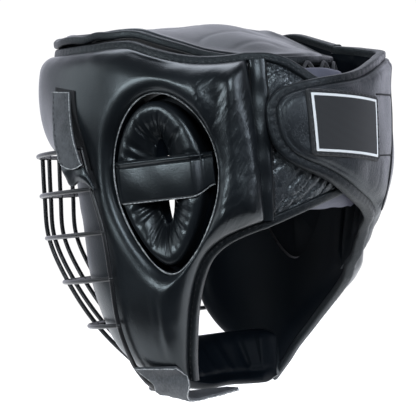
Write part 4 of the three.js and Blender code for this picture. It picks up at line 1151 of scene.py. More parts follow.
def sheen_painted_lining(turns):
    """Both free edges: below at one wavering height, above along its table."""
    low, high = rear_low(turns) + LINING_LAP, rear_high(turns) - LINING_LAP
    free_low = np.minimum(LINING_LOW + LINING_WAVER * np.sin(turns * 0.4), low - LINING_LAP)
    free_high = np.maximum(smooth_rows(LINING_HIGH, turns)[..., 0], high + LINING_LAP)
    return soft_edge(turns, low, free_low, SWELL_BELOW) + soft_edge(turns, high, free_high, SWELL_ABOVE)


put_piece("rear_tongue", rear_pillow() + sheen_painted_lining(LINING_TURNS), [CREASED, LINING_AND_SHADE, SHEEN_PAINTED_LINING],
          "rear_panel_left")
put_piece("closing_flap", flap_pillow(), [FLAP_HIDE, LINING_AND_SHADE], "back_flap")

# %% [markdown]
# ## Seam strip
# The joint between shell and rear tongue is covered by a narrow strip of leather, sewn along both edges. It is
# rounded across its width, and its two seams read as dark lines.

# %% Seam strip
# height, turn of the front edge, turn of the rear edge
STRIP_EDGES = [(-126, 136.4, 142.7), (-58, 138.4, 144.2), (-19, 140.1, 145.4)]
STRIP_TOP, STRIP_BOTTOM = -17.5, -125.5
# distance out of the rear edge, how much higher the front edge is, rise of the dome, depth below the edges
STRIP_OUT, STRIP_SLOPE, STRIP_DOME, STRIP_UNDER = 12.4, 0.8, 2.0, 1.0


def seam_strip(name):
    """Band of low domed section between two slanting edges, a little proud of both neighbours."""
    z = np.linspace(STRIP_BOTTOM, STRIP_TOP, 110)[:, None]
    v = np.linspace(0, 1, 26)[None]
    front, rear = np.hsplit(smooth_rows(STRIP_EDGES, z[:, 0]), 2)
    turn = front + (rear - front) * v
    z = z + 0 * v
    dome = STRIP_DOME * np.sqrt(np.maximum(1 - (2 * v - 1) ** 2, 0))
    relief = 0.25 * ripples(form(turn, z, 12), 18, 71) * ease(np.minimum(v, 1 - v), 0, 0.15)
    base = STRIP_OUT + STRIP_SLOPE * (1 - v)
    patches = band_patches(form(turn, z, base - STRIP_UNDER), form(turn, z, base + dome + relief))
    return put_piece(name, patches, [HIDE])


seam_strip("rear_seam_strip")

# %% [markdown]
# ## Label
# A rectangular woven patch is sewn to the flap. It is left bare: a plain ground with one pale line round it.
# Its attribute holds the distance from the patch's edge, in millimetres, for the line.

# %% Label patch
LABEL = {"turn": 168.5, "z": -66.6, "wide": 66.0, "tall": 45.0, "lean": -0.118, "per_degree": 2.3, "thick": 1.4}
LABEL_CORNER = 2.6
GAP = 0.35
# grid lines from the edge to the label's seam
SEAM_IN = 2


def label_patch(name):
    """Thin slab that follows the flap: level lines lean, edges are rounded and a border stands up."""
    a = np.linspace(-0.5, 0.5, 90)[:, None] * LABEL["wide"]
    b = np.linspace(-0.5, 0.5, 64)[None] * LABEL["tall"]
    in_a, in_b = LABEL["wide"] / 2 - np.abs(a), LABEL["tall"] / 2 - np.abs(b)
    inset = np.minimum(in_a, in_b)
    past_a, past_b = np.maximum(LABEL_CORNER - in_a, 0), np.maximum(LABEL_CORNER - in_b, 0)
    cut = 1 - np.maximum(past_a, past_b) / np.maximum(np.hypot(past_a, past_b), TINY)
    rounded = cut * (past_a > 0) * (past_b > 0)
    a, b = a - np.sign(a) * past_a * rounded, b - np.sign(b) * past_b * rounded
    turn = LABEL["turn"] + a / LABEL["per_degree"]
    z = LABEL["z"] + a * LABEL["lean"] + b
    lift = flap_inside(turn, z) + FLAP_THICK + GAP
    thick = LABEL["thick"] - 0.9 * (1 - roll(inset, 1.2, 0, 1)) + groove(inset - 2.2, 0.35, 0.35)
    under, top = form(turn, z, lift), form(turn, z, lift + thick)
    patches = band_patches(under, top)
    marks = [inset, inset] + [np.zeros(patch[0].shape[:2]) for patch in patches[2:]]
    put_piece(name, patches, [LABEL_WEAVE], "label_patch", attribute=("inset", marks))
    k, last = SEAM_IN, -SEAM_IN - 1
    lower, upper = [np.concatenate([g[k, k:-k], g[k:-k, last], g[last, last:k - 1:-1], g[last:k - 1:-1, k]])
                    for g in (under, top)]
    return upper, upper - lower


label_seam = label_patch("bare_label")

# %% [markdown]
# ## Bound edges
# A folded leather tape covers each raw edge. Its section is a rounded bar with a shallow valley where the
# stitches pull it down. The bar is carried along the edge, standing on it, and puckers a little at every stitch.

# %% A tape along an edge
BINDING_OVERLAP = 1.0
BAR_POWER, BAR_SIDES = 0.55, 28
PUCKER, PUCKER_PITCH = 0.022, 5.2
# how far in from the edge's line the stitches run; depth and width of their valley
SEWN_IN, VALLEY_DEPTH, VALLEY_HALF = 1.5, 0.5, 0.6


def bar_section():
    """Rounded bar: a circle's cosine and sine, each raised to a power below one so that the bar is squarer."""
    a = np.linspace(0, ROUND, BAR_SIDES, endpoint=False)[None]
    return [np.sign(f) * np.abs(f) ** BAR_POWER for f in (np.cos(a), np.sin(a))]


def bound_edge(name, line, lift, way, inner, outer, node):
    """Rounded bar along a chart line: across it the width of the tape, out of it the thickness of the edge."""
    step = unit(np.gradient(line, axis=0)) * way
    across, upward = bar_section()
    pucker = 1 + PUCKER * np.sin(ROUND * run_along(line)[:, None] / PUCKER_PITCH) * (upward > 0)
    w = (BINDING_WIDTH - BINDING_OVERLAP) / 2 + (BINDING_WIDTH + BINDING_OVERLAP) / 2 * across
    valley = VALLEY_DEPTH * bell(w, SEWN_IN, VALLEY_HALF) * (upward > 0)
    out = (inner + outer) / 2 + (outer - inner) / 2 * upward * pucker - valley + lift[:, None]
    skin = on_form(line[:, :1] - step[:, 1:] * w, line[:, 1:] + step[:, :1] * w, out)
    patches = [(skin, True)] + [(end_cap(skin[k], skin[k].mean(0)), True) for k in (0, -1)]
    return put_piece(name, patches, [EDGE_HIDE], node, sharp=70)


def facing(line, side):
    """A chart line on the wearer's left or right: across it is mirrored for the right."""
    return line * [side, 1]


print("tape's section:", BAR_SIDES, "points")

# %% Bindings
BOUND_REAR = 190.0
# inner and outer distance of each tape
RIM_TAPE, NAPE_TAPE, FAR_NAPE_TAPE = (3.6, 11.6), (2.6, 10.4), (3.2, 10.8)
# steps by which the far nape binding runs on, over the end of the chin band, and the step where it starts
CHIN_LAP, FAR_TAPE_FROM = 4.0, 5
# steps past the far seam that the tape of the flap shares with it
SHARED_STEPS = slice(2, 10)
# where the flap's tape leaves its own line for the nape's, and the turns over which it rises to it
TAPES_JOIN, TAPE_RISE = 220.28, (215, FAR_SEAM_TURN)

rear_turns = np.linspace(BOUND_REAR, SEAM_TURN + 3, 70)
far_rim = facing(resample(LINES[-1]["rim"], 260)[1:], -1)
near_rim = resample(LINES[1]["rim"][::-1], 260)
rim_line = np.vstack([chart_line(rear_turns, rear_high(rear_turns)), near_rim, far_rim])
from_front = np.abs(rim_line[:, 0])
rim_lift = np.where(from_front < SEAM_TURN * MM_PER_DEGREE, rim_stand(from_front), 0.0)
bound_edge("rim_binding", rim_line, rim_lift, -1, *RIM_TAPE, "top_binding")

nape_line = np.vstack([chart_line(rear_turns, rear_low(rear_turns)), resample(LINES[1]["nape"], 170)])
bound_edge("nape_binding_left", nape_line, 0 * nape_line[:, 0], 1, *NAPE_TAPE, "neck_binding_left")
far_nape = LINES[-1]["nape"]
chin_end = far_nape[-1] + CHIN_LAP * (far_nape[-1] - far_nape[-4])
nape_line = facing(resample(np.vstack([far_nape[FAR_TAPE_FROM:], chin_end]), 170), -1)
bound_edge("nape_binding_right", nape_line, 0 * nape_line[:, 0], -1, *FAR_NAPE_TAPE, "neck_binding_right")

# the flap's tape rises to the height of the nape's tape and runs on into it past the seam
past_seam = facing(far_nape[SHARED_STEPS], -1) + [FULL_TURN * MM_PER_DEGREE, 0]
own_line = FLAP_LINE[FLAP_LINE[:, 0] < TAPES_JOIN * MM_PER_DEGREE]
flap_line = resample(np.vstack([own_line, past_seam]), 460)
flap_turns = flap_line[:, 0] / MM_PER_DEGREE
flap_lift = flap_inside(np.minimum(flap_turns, FAR_SEAM_TURN), flap_line[:, 1])
at_nape = ease(flap_turns, *TAPE_RISE) * (flap_line[:, 1] < FLAP_LINE[FLAP_TIP, 1])
flap_lift = flap_lift + (FAR_NAPE_TAPE[0] - flap_lift) * at_nape
tape_thick = FAR_NAPE_TAPE[1] - FAR_NAPE_TAPE[0]
bound_edge("flap_edge_binding", flap_line, flap_lift, -1, 0, tape_thick, "flap_binding")

# %% [markdown]
# ## Crown
# The crown is a padded dome that closes the top and is tied to the back by a lace. Its rim follows the shell's
# top edge at the front and dips inside the back. A dome on a ring is a radius and a turn: the height falls
# from the top as a power of the radius.

# %% Crown dome
# turn, height, distance out
CROWN_LEFT = [(0, 15.9, 16), (38, 11.5, 16), (64, 9, 15), (78, 8.5, 13), (90, 6.6, 10), (102, 0.2, 5.5),
              (112, -5.6, 1.5), (124, -13, -3), (140, -19, -9), (160, -21, -15), (180, -21, -17)]
CROWN_RIGHT = [(0, 15.9, 16), (38, 11.5, 16), (64, 9, 15), (78, 7.6, 13), (90, 7.2, 10), (102, 7.2, 4),
               (112, 4, -3.2), (124, -5, -6), (140, -16, -10), (160, -20.5, -15), (180, -21, -17)]
CROWN_MIDDLE_Y = -15.0
CROWN_EDGE_THICK, CROWN_EDGE_IN, CROWN_SEAM = 6.0, 3.6, 0.4
# height in the middle, and the power by which it falls to the rim: outside, then lining
DOME, DOME_LINING = (19.0, 1.9), (0.0, 2.3)


def signed_turn(turn):
    """A turn as an angle to the left of the front, or to the right as a negative one."""
    return (np.asarray(turn, float) + 1.5 * FULL_TURN) % FULL_TURN - FULL_TURN / 2


def crown_edge(turn):
    """Height and distance out of the crown's rim, from the left table or the right one."""
    signed = signed_turn(turn)
    left, far = [smooth_rows(table, np.abs(signed)) for table in (CROWN_LEFT, CROWN_RIGHT)]
    return np.where((signed > 0)[..., None], left, far)


def dome_grid(turn, share, seam, high, power):
    """Rows of rings: the plan shrinks to the middle, the height rises as one less a power of the share."""
    edge = crown_edge(turn)
    rim = form(turn, edge[:, 0], edge[:, 1] - CROWN_EDGE_IN)
    low = edge[:, 0] + seam
    f = share[:, None]
    z = low + (high - low) * (1 - f**power)
    y = CROWN_MIDDLE_Y + (rim[:, 1] - CROWN_MIDDLE_Y) * f
    return np.stack([rim[:, 0] * f, y, z], -1)


def dome_relief(p, share):
    """Puff beside the binding, slow swell and a few long creases; nothing at the rim itself."""
    inward = 1 - share[:, None]
    puff = 1.6 * bell(inward, 0, 0.07) * ease(inward, 0, 0.02)
    swell = 0.7 * ripples(p, 60, 81) - 0.5 * creases(p, 42, 83, (2.5, 1, 1), 0.22) * ease(inward, 0.05, 0.2)
    return (puff + swell * ease(inward, 0.0, 0.06)) * (inward > 0)


def crown_dome(name):
    """Padded outside and smooth lining, joined by a strip at the rim."""
    turn = np.linspace(0, FULL_TURN, 240, endpoint=False)
    share = 1 - np.linspace(0, 1, 52) ** 1.5
    outer = dome_grid(turn, share, CROWN_EDGE_THICK - CROWN_SEAM, *DOME)
    outer[..., 2] += dome_relief(outer, share)
    inner = dome_grid(turn, np.linspace(1, 0, 20), CROWN_SEAM, *DOME_LINING)
    # the dome's inner face takes the near-black lining, darker than the hide as painted shade
    patches = [(outer, True), (inner, True, 1), (strip(outer[0], inner[0]), True)]
    return put_piece(name, patches, [HIDE, LINING_AND_SHADE], "crown_pad")


crown_dome("crown_dome")

# %% Crown tape
# half the tape's width, how much wider it is at the forehead, and the turns over which that fades
TAPE_HALF, TAPE_WIDER, WIDER_TO = 3.1, 1.6, (40, 70)
TAPE_WAVER, WAVER_TO = 0.6, (60, 100)
TAPE_SINK = 0.1
# place and width of the stitches' valley across the tape, and its depth
TAPE_SEAM, TAPE_SEAM_DEPTH = (-0.55, 0.2), 0.45


def crown_tape(name):
    """Rounded bar round the crown's rim, level across and upright in thickness."""
    turn = np.linspace(0, FULL_TURN, 420, endpoint=False)[:, None]
    height, out = np.hsplit(crown_edge(turn[:, 0]), 2)
    across, upward = bar_section()
    half_thick = CROWN_EDGE_THICK / 2
    z = height + half_thick + (half_thick - TAPE_SINK) * upward
    z = z - TAPE_SEAM_DEPTH * bell(across, *TAPE_SEAM) * (upward > 0)
    from_front = np.abs(signed_turn(turn))
    reach = TAPE_HALF + TAPE_WIDER * (1 - ease(from_front, *WIDER_TO)) * (across > 0)
    level = form(turn, height, out - TAPE_SINK + reach * across)
    waver = TAPE_WAVER * ripples(level[:, :1], 26, 87) * (1 - ease(from_front, *WAVER_TO))
    skin = np.stack([level[..., 0], level[..., 1], z + waver], -1)
    ring = [(np.concatenate([skin, skin[:1]]), True)]
    return put_piece(name, ring, [EDGE_HIDE], "crown_binding")


crown_tape("crown_tape")

# %% [markdown]
# ## Lace
# A thin cord ties the back of the crown to the tongues. It runs in a zigzag, up over the crown's tape and down
# behind the tongues, and it is drawn tight. A smooth curve through the zigzag's points, carried as a tube, is
# enough.

# %% Crown lace
LACE_RADIUS = 1.4
LACE_TURNS = np.linspace(149, 203, 9)
# drop below the crown's rim, and distance out from it, at the lower and at the upper points
LACE_LOW, LACE_HIGH = (8, 5.4), (-1, 3.4)


def crown_lace(name):
    """Zigzag cord under the crown's back edge, looped up on it and down towards the tongues."""
    height, out = crown_edge(LACE_TURNS).T
    low = np.arange(len(LACE_TURNS)) % 2 == 0
    drop, stand = [np.where(low, a, b) for a, b in zip(LACE_LOW, LACE_HIGH)]
    line = curve_through(form(LACE_TURNS, height - drop, out + stand), 160)
    return put_piece(name, tube(line, LACE_RADIUS), [THREAD], "crown_lace")


crown_lace("tied_lace")

# %% [markdown]
# ## Chin band
# A padded band runs round the chin from cheek to cheek. The leather is gathered on its inner side, and its lower
# edge is rolled into a lip. In plan it is half an oval, and both ends are tucked in under the cheeks.

# %% Chin band
QUARTER = np.pi / 2
# height, half width, front
CHIN = [(-241, 62, -23), (-226, 66.5, -35), (-204, 70.2, -50)]
CHIN_SIDE, CHIN_THICK, CHIN_EDGE, CHIN_SWEEP = -2.0, 11.0, 3, 92.0
# the ends are tucked in from this angle on: there the lower edge rises and the upper one drops by so much,
# and the band is so much wider, with more on the right
CHIN_TUCK_FROM = 72
TUCK_BELOW, TUCK_ABOVE, TUCK_WIDER, TUCK_FAR = 4, 6, 2, 4
# the lower edge is higher on the left and lower on the right
CHIN_LEFT_RISE, CHIN_RIGHT_DROP = 8, 2.5
# place and width across the band, and height, of the lip and of the neck above it
LIP, LIP_HEIGHT = (0.09, 0.075), 3.2
LIP_NECK, LIP_NECK_DEPTH = (0.24, 0.05), 2.2
# length of the band to one radian, and its height, as the pleats see them
PLEAT_RUN, PLEAT_RISE = 75, 6


def chin_band(name):
    """Half oval in plan at each height; the inner skin is puffed, pleated upright and rolled at the lower edge."""
    t = np.radians(CHIN_SWEEP * np.sin(np.linspace(-QUARTER, QUARTER, 220)))[:, None]
    v = close_ends(48)[None]
    across = np.sin(t)
    tucked = ease(np.degrees(np.abs(t)), CHIN_TUCK_FROM, CHIN_SWEEP) ** 1.5
    free = 1 - tucked
    slope = CHIN_LEFT_RISE * ease(across, 0.0, 1.0) - CHIN_RIGHT_DROP * ease(-across, 0.3, 1.0)
    low, high = CHIN[0][0] + slope + TUCK_BELOW * tucked, CHIN[-1][0] - TUCK_ABOVE * tucked
    z = low + (high - low) * v
    half, front = np.moveaxis(smooth_rows(CHIN, z), -1, 0)
    half = half + (TUCK_WIDER + TUCK_FAR * ease(-across, 0.5, 1.0)) * tucked

    def skin(inward):
        """The half oval drawn in by so much: x by the sine, y by the cosine."""
        deep = CHIN_SIDE - front - inward
        return np.stack([(half - inward) * across, CHIN_SIDE - deep * np.cos(t), z], -1)

    edge = np.minimum(v, 1 - v)
    puff = CHIN_EDGE + (CHIN_THICK - CHIN_EDGE) * roll(edge, 0.25, 0, 1) * (0.25 + 0.75 * free)
    lip = (LIP_HEIGHT * bell(v, *LIP) - LIP_NECK_DEPTH * bell(v, *LIP_NECK)) * free
    run = np.stack([PLEAT_RUN * t + 0 * v, PLEAT_RISE * v + 0 * t, 0 * z], -1)
    pleats = 0.9 * ripples(run, 13, 91) * window(v, (0.22, 0.4), (0.85, 1.0)) * free
    outer = skin(0.35 * ripples(run, 18, 93) * ease(edge, 0, 0.1))
    face, lining, *rest = band_patches(outer, skin(puff + lip + pleats))
    # the band's inner skin takes the near-black lining, darker than the hide as painted shade
    return put_piece(name, [face, (*lining, 1), *rest], [HIDE, LINING_AND_SHADE], "chin_pad")


chin_band("chin_band")

# %% [markdown]
# ## Face grille
# The grille is welded from round wire: level hoops, upright bars, and a side wire each way that lies along the
# cheek. Each level is a half oval with its own width and reach, so a wire is a line of constant height or of
# constant angle on that surface. A small bead marks every weld.

# %% Face grille
WIRE_RADIUS, WIRE_SIDES = 1.6, 14
WELD_RADIUS = WIRE_RADIUS * 1.22
# height, half width, front, side
GRILLE = [(-233, 70, -40, -22), (-226, 82, -45, -21.5), (-212, 95, -62, -22), (-186, 104.4, -87, -24),
          (-154, 108, -109, -24), (-122, 109.4, -122.5, -25.5), (-92, 109, -122, -32), (-64, 107.6, -120, -38)]
GRILLE_TOP, GRILLE_BOTTOM = -64.0, -233.0
HOOP_LEVELS = (-92.0, -122.0, -154.0, -186.0, GRILLE_TOP, GRILLE_BOTTOM)
# distance of each bar from the middle, and the height where that holds
BAR_OFFSETS = np.array([-52, -36, -18, 0, 18, 36, 52])
BAR_LEVEL = -107.0


def grille_point(z, angle):
    """Half oval at a height: side to side as the sine, forward as the cosine of the angle."""
    z, angle = np.broadcast_arrays(np.asarray(z, float), np.asarray(angle, float))
    half, front, side = np.moveaxis(smooth_rows(GRILLE, z), -1, 0)
    return np.stack([half * np.sin(angle), side - (side - front) * np.cos(angle), z], -1)


def weld_beads(points, radius):
    """Small round beads, one at each crossing: a ball of 6 by 10 cells repeated over the points."""
    a, b = np.meshgrid(np.linspace(0, np.pi, 7), np.linspace(0, ROUND, 10, endpoint=False), indexing="ij")
    ball = np.stack([np.sin(a) * np.cos(b), np.sin(a) * np.sin(b), np.cos(a)], -1) * radius
    return [(p + ball, True) for p in points]


def face_grille(name):
    """A tube for each hoop, bar and side wire, and a bead where a hoop crosses an upright wire."""
    sweep = np.linspace(-QUARTER, QUARTER, 90)
    fall = np.linspace(GRILLE_TOP, GRILLE_BOTTOM, 90)
    uprights = (-QUARTER, QUARTER, *np.arcsin(BAR_OFFSETS / smooth_rows(GRILLE, BAR_LEVEL)[0]))
    wires = [grille_point(z, sweep) for z in HOOP_LEVELS] + [grille_point(fall, angle) for angle in uprights]
    patches = [patch for wire in wires for patch in tube(wire, WIRE_RADIUS, WIRE_SIDES)]
    levels, angles = np.meshgrid(HOOP_LEVELS, uprights)
    patches += weld_beads(grille_point(levels.ravel(), angles.ravel()), WELD_RADIUS)
    return put_piece(name, patches, [WIRE_COAT], "face_grille", sharp=60)


face_grille("wire_grille")

# %% [markdown]
# ## Straps at the forehead
# At the forehead a leather strap is closed over the top wire on loop tape. It lies on the padding, stands out over
# the wire, and has a stitched border and a pale cut edge. A soft fold of leather runs on from its end round the
# upper wire.

# %% Forehead straps
FOREHEAD_STRAP = {"from": 51.5, "to": 62.0, "top": -23.0, "bottom": -77.0, "lean": 9.0, "wide": 18}
# the strap's rear side hangs lower, and its lower corners are round
STRAP_SLANT, CORNER_RISE = 2.5, 3
# distance out over the wire at a turn, its slope, and the depths over which the strap rises to it
OVER_WIRE = {"out": 34.3, "turn": 50, "slope": 0.05, "depths": (20, 62)}
# grid lines from the edge to the strap's seams
STRAP_SEAM_IN = 3


def cut_edge(over, count, radius):
    """Pale cut edge as a thin tube round the upper face of a strap."""
    rim = np.concatenate([over[:, 0], over[-1, 1:], over[::-1, -1], over[0, ::-1][1:]])
    return [(skin, ring, 1) for skin, ring in tube(resample(rim, count), radius, 6)]


def forehead_strap(side, word):
    """Band down the temple: it lies on the padding, then stands out over the top wire; its lower end is round."""
    z = np.linspace(FOREHEAD_STRAP["top"], FOREHEAD_STRAP["bottom"], 90)[:, None]
    v = np.linspace(0, 1, 26)[None]
    share = (z - FOREHEAD_STRAP["top"]) / (FOREHEAD_STRAP["bottom"] - FOREHEAD_STRAP["top"])
    turn = FOREHEAD_STRAP["from"] + (FOREHEAD_STRAP["to"] - FOREHEAD_STRAP["from"]) * v
    turn = turn + share * FOREHEAD_STRAP["lean"]
    z = z + 0 * v - STRAP_SLANT * (v - 0.5) + CORNER_RISE * ease(share, 0.9, 1.0) * (2 * v - 1) ** 2
    on_pad = padding(turn * MM_PER_DEGREE, z, side)[0] + GAP
    on_wire = OVER_WIRE["out"] + (turn - OVER_WIRE["turn"]) * OVER_WIRE["slope"]
    bridge = ease(-z, *OVER_WIRE["depths"])
    lift = np.maximum(on_pad, on_wire * bridge + on_pad * (1 - bridge))
    edge = np.minimum(v, 1 - v) * FOREHEAD_STRAP["wide"]
    under = form(side * turn, z, lift)
    thick = STRAP_THICK - (1 - roll(edge, 1.5, 0, 1)) + groove(edge - 2.6, 0.6, 0.45)
    over = form(side * turn, z, lift + thick + 0.2 * ripples(under, 12, 101) * ease(edge, 0, 2))
    patches = band_patches(under, over) + cut_edge(over, 260, 0.4)
    put_piece(f"grille_strap_{word}", patches, [STRAP_HIDE, RAW_EDGE], f"forehead_strap_{word}")
    rows = slice(STRAP_SEAM_IN, -STRAP_SEAM_IN)
    return [(over[rows, k], (over - under)[rows, k]) for k in (STRAP_SEAM_IN, -STRAP_SEAM_IN - 1)]


print("forehead strap:", FOREHEAD_STRAP["wide"], "mm wide,", STRAP_THICK, "mm thick")

# %% Loop tape and wire loops
# turn and height of the tape's corners: upper front, upper rear, lower rear, lower front
LOOP_TAPE_CORNERS = [(52.2, -18.5), (64.2, -23.5), (70, -79), (58, -76)]
TAPE_UNDER, TAPE_OVER = 0.6, 0.9
# turn, height and distance out of the loop's corners: strap front, strap rear, wire rear, wire front
WIRE_LOOP_CORNERS = [(59.5, -74, 35), (71, -77, 35.6), (74.5, -93.5, 33.6), (60.5, -86, 34)]
# share along the loop, height of its lower edge
WIRE_LOOP_FOOT = [(0, -80), (0.1, -86.5), (0.22, -88.5), (0.45, -86), (0.7, -87.5), (1, -93.5)]
LOOP_THICK, LOOP_PUFF, LOOP_FOLD = 2.2, 1.6, 0.8
LOOP_CELLS = 34


def four_corners(corners, rows, columns):
    """Patch between four corners: straight both ways."""
    a, b, c, d = np.asarray(corners, float)
    s, v = np.linspace(0, 1, rows)[:, None, None], np.linspace(0, 1, columns)[None, :, None]
    return (1 - s) * ((1 - v) * a + v * b) + s * ((1 - v) * d + v * c)


def loop_tape(side, name):
    """Thin tape on the padding, under the strap and a little wider than it."""
    turn, z = np.moveaxis(four_corners(LOOP_TAPE_CORNERS, 40, 16), -1, 0)
    lift = padding(turn * MM_PER_DEGREE, z, side)[0]
    under, over = [form(side * turn, z, lift + step) for step in (-TAPE_UNDER, TAPE_OVER)]
    return put_piece(name, band_patches(under, over), [LOOP_TAPE])


def wire_loop(side, name):
    """Soft folded leather from the strap's end round the upper wire: waisted below and puffed in the middle."""
    turn, head, out = np.moveaxis(four_corners(WIRE_LOOP_CORNERS, LOOP_CELLS, LOOP_CELLS), -1, 0)
    s, v = np.linspace(0, 1, LOOP_CELLS)[:, None], np.linspace(0, 1, LOOP_CELLS)[None]
    z = head[:1] + (smooth_rows(WIRE_LOOP_FOOT, v[0])[:, 0] - head[:1]) * s
    puff = LOOP_PUFF * np.sin(np.pi * s) ** 0.6 * np.sin(np.pi * v) ** 0.6
    fold = LOOP_FOLD * np.sin(7 * v + 3 * s + 0.6) * np.sin(np.pi * s)
    under, over = form(side * turn, z, out - LOOP_THICK), form(side * turn, z, out + puff + fold)
    return put_piece(name, band_patches(under, over), [HIDE], sharp=70)


strap_seams = []
for side, word in SIDES:
    strap_seams += forehead_strap(side, word)
    loop_tape(side, f"loop_tape_{word}")
    wire_loop(side, f"wire_loop_{word}")

# %% [markdown]
# ## Straps at the chin
# At the chin a strap wraps the lower wire, and on the left its tail runs under the chin. A strap that turns over a
# wire and hangs free has no one form to lie on, so it is a ribbon between two edge curves in space.

# %% Chin straps
# on the cheek: turn and height of one edge, turn and height of the other
CHEEK_ROWS = {
    1: [(77.6, -215.5, 97.5, -217), (80, -222, 100, -223.5), (82.5, -228, 102.5, -229.5)],
    -1: [(87, -219, 87, -230), (83.5, -217, 83.5, -231), (80, -215, 80, -231), (77, -213, 77, -230)],
}
# below the cheek: one edge, then the other
TAIL_ROWS = {
    1: [((81, -13, -233.5), (81, 12, -239.5)), ((58, -4, -236.5), (60, 19, -240)),
        ((26, 9, -238), (37, 25, -238))],
    -1: [((92, -31.5, -216), (93, -33, -224)), ((82, -33, -229), (83, -35.5, -236))],
}
TAB_OVER_WIRE = {"z": -207.0, "out": 32.4, "slope": 0.55, "to_turn": 86}
TAB_OVER_PAD = 1.7
TAB_WIDE = 16
# a place on the strap, in grid lines, whose normal has to point away from the head
OUTWARD_AT = (10, 13)


def strap_edges(side):
    """Both edges of a chin strap: rows on the cheek, over pad and wire, then rows under the chin."""
    rows = np.asarray(CHEEK_ROWS[side], float)
    tails = np.asarray(TAIL_ROWS[side], float) * [side, 1, 1]
    edges = []
    for k in (0, 1):
        turn, z = rows[:, 2 * k], rows[:, 2 * k + 1]
        pad = padding(turn * MM_PER_DEGREE, z, side)[0] + TAB_OVER_PAD
        wire = TAB_OVER_WIRE["out"] + (z - TAB_OVER_WIRE["z"]) * TAB_OVER_WIRE["slope"]
        out = np.maximum(pad, np.where(turn < TAB_OVER_WIRE["to_turn"], wire, 0))
        edges.append(np.vstack([form(side * turn, z, out), tails[:, k]]))
    return edges


def chin_strap(side, word):
    """Ribbon between two edge curves, thickened along its own normal, with a pale cut edge."""
    first, second = [curve_through(edge, 120)[:, None] for edge in strap_edges(side)]
    v = np.linspace(0, 1, 26)[None, :, None]
    under = first + (second - first) * v
    normal = unit(np.cross(np.gradient(under, axis=1), np.gradient(under, axis=0)))
    normal *= np.sign(normal[OUTWARD_AT][0] * side)
    edge = np.minimum(v, 1 - v) * TAB_WIDE
    uneven = 0.12 * ripples(under, 5, 103, (1, 1, 2))[..., None]
    over = under + normal * (STRAP_THICK - 0.9 * (1 - roll(edge, 1.2, 0, 1)) + uneven)
    patches = band_patches(under, over) + cut_edge(over, 320, 0.35)
    return put_piece(f"chin_strap_{word}", patches, [STRAP_HIDE, RAW_EDGE], f"chin_tab_{word}")


for side, word in SIDES:
    chin_strap(side, word)

# %% [markdown]
# ## Stitches
# Sewing gives the helmet its scale. A stitch is a small grain of thread, thick in the middle and pulled down at
# both ends. One grain is a grid of a few cells, and arrays of places and directions repeat it along each seam.

# %% One row of stitches
STITCH = {"pitch": 4.2, "length": 2.9, "radius": 0.42, "pulled": 0.35, "thin": 0.02}
# half the length over which a seam's direction is taken
WAY_REACH = 0.2


def stitch_row(line, normal):
    """Patches of thread grains at equal steps along a line, lying along it and standing on its normal."""
    run = run_along(line)
    at = np.arange(STITCH["pitch"] / 2, run[-1], STITCH["pitch"])
    place, lift = along_at(line, run, at), unit(along_at(normal, run, at))
    way = along_at(line, run, at + WAY_REACH) - along_at(line, run, at - WAY_REACH)
    way -= (way * lift).sum(-1, keepdims=True) * lift
    way /= np.maximum(np.linalg.norm(way, axis=1, keepdims=True), TINY)
    s = np.linspace(-1, 1, 5)[:, None]
    a = np.linspace(0, ROUND, 6, endpoint=False)[None]
    thick = STITCH["radius"] * np.sqrt(np.maximum(1 - s**4, STITCH["thin"]))
    x, y = s * STITCH["length"] / 2 + 0 * a, thick * np.cos(a)
    h = thick * np.sin(a) - STITCH["pulled"] * s**4
    axes = [axis[:, None, None] for axis in (way, np.cross(way, lift), lift)]
    grain = x[..., None] * axes[0] + y[..., None] * axes[1] + h[..., None] * axes[2]
    return [(g, True) for g in place[:, None, None] + grain]


def chart_seam(u, z, out, side=1):
    """Line of points on the form with its outward direction."""
    return on_form(u, z, out, side), on_form(u, z, out + 1.0, side) - on_form(u, z, out, side)


print("stitches to 100 mm:", int(100 / STITCH["pitch"]))

# %% Stitches along seams
# how far the stitches lie below the top of a tape
STITCH_SINK = 0.45
# the seam strip's front and rear seams: column of its table, step away from the strip, distance out
STRIP_SEAMS = ((0, -1.2, 13.2), (1, 1.2, 12.2))

seam = shifted(rim_line, -SEWN_IN)
seams = strap_seams + [label_seam, chart_seam(*seam.T, RIM_TAPE[1] - STITCH_SINK + rim_lift)]
for side, tape in ((1, NAPE_TAPE), (-1, FAR_NAPE_TAPE)):
    seam = shifted(resample(LINES[side]["nape"], 170), SEWN_IN)
    seams.append(chart_seam(*seam.T, tape[1] - STITCH_SINK, side))
u, z = shifted(flap_line, -SEWN_IN).T
seams.append(chart_seam(u, z, tape_thick - STITCH_SINK + flap_inside(u / MM_PER_DEGREE, z)))
strip_z = np.linspace(STRIP_BOTTOM + 2, STRIP_TOP - 2, 60)
for column, step, out in STRIP_SEAMS:
    strip_turn = smooth_rows(STRIP_EDGES, strip_z)[:, column]
    seams.append(chart_seam(strip_turn * MM_PER_DEGREE + step, strip_z, out))
stitches = [patch for line, normal in seams for patch in stitch_row(line, normal)]
put_piece("seam_stitches", stitches, [THREAD])

# %% [markdown]
# ## Sunk seams
# Where two panels are sewn face to face, the leather dips and only a dark line is left: the thread, and the shade
# in the dip. A thin dull tube in the bottom of the dip gives that line from every side, thread and painted shade.

# %% Sunk seams
SUNK_RADIUS, SUNK_DEPTH = 0.55, 0.2
# column of the strip's table, distance out
STRIP_SUNK = ((0, 13.0), (1, 12.3))
# lower and upper end of the flap's upright seam
UPRIGHT_SEAM = (-126, -33)


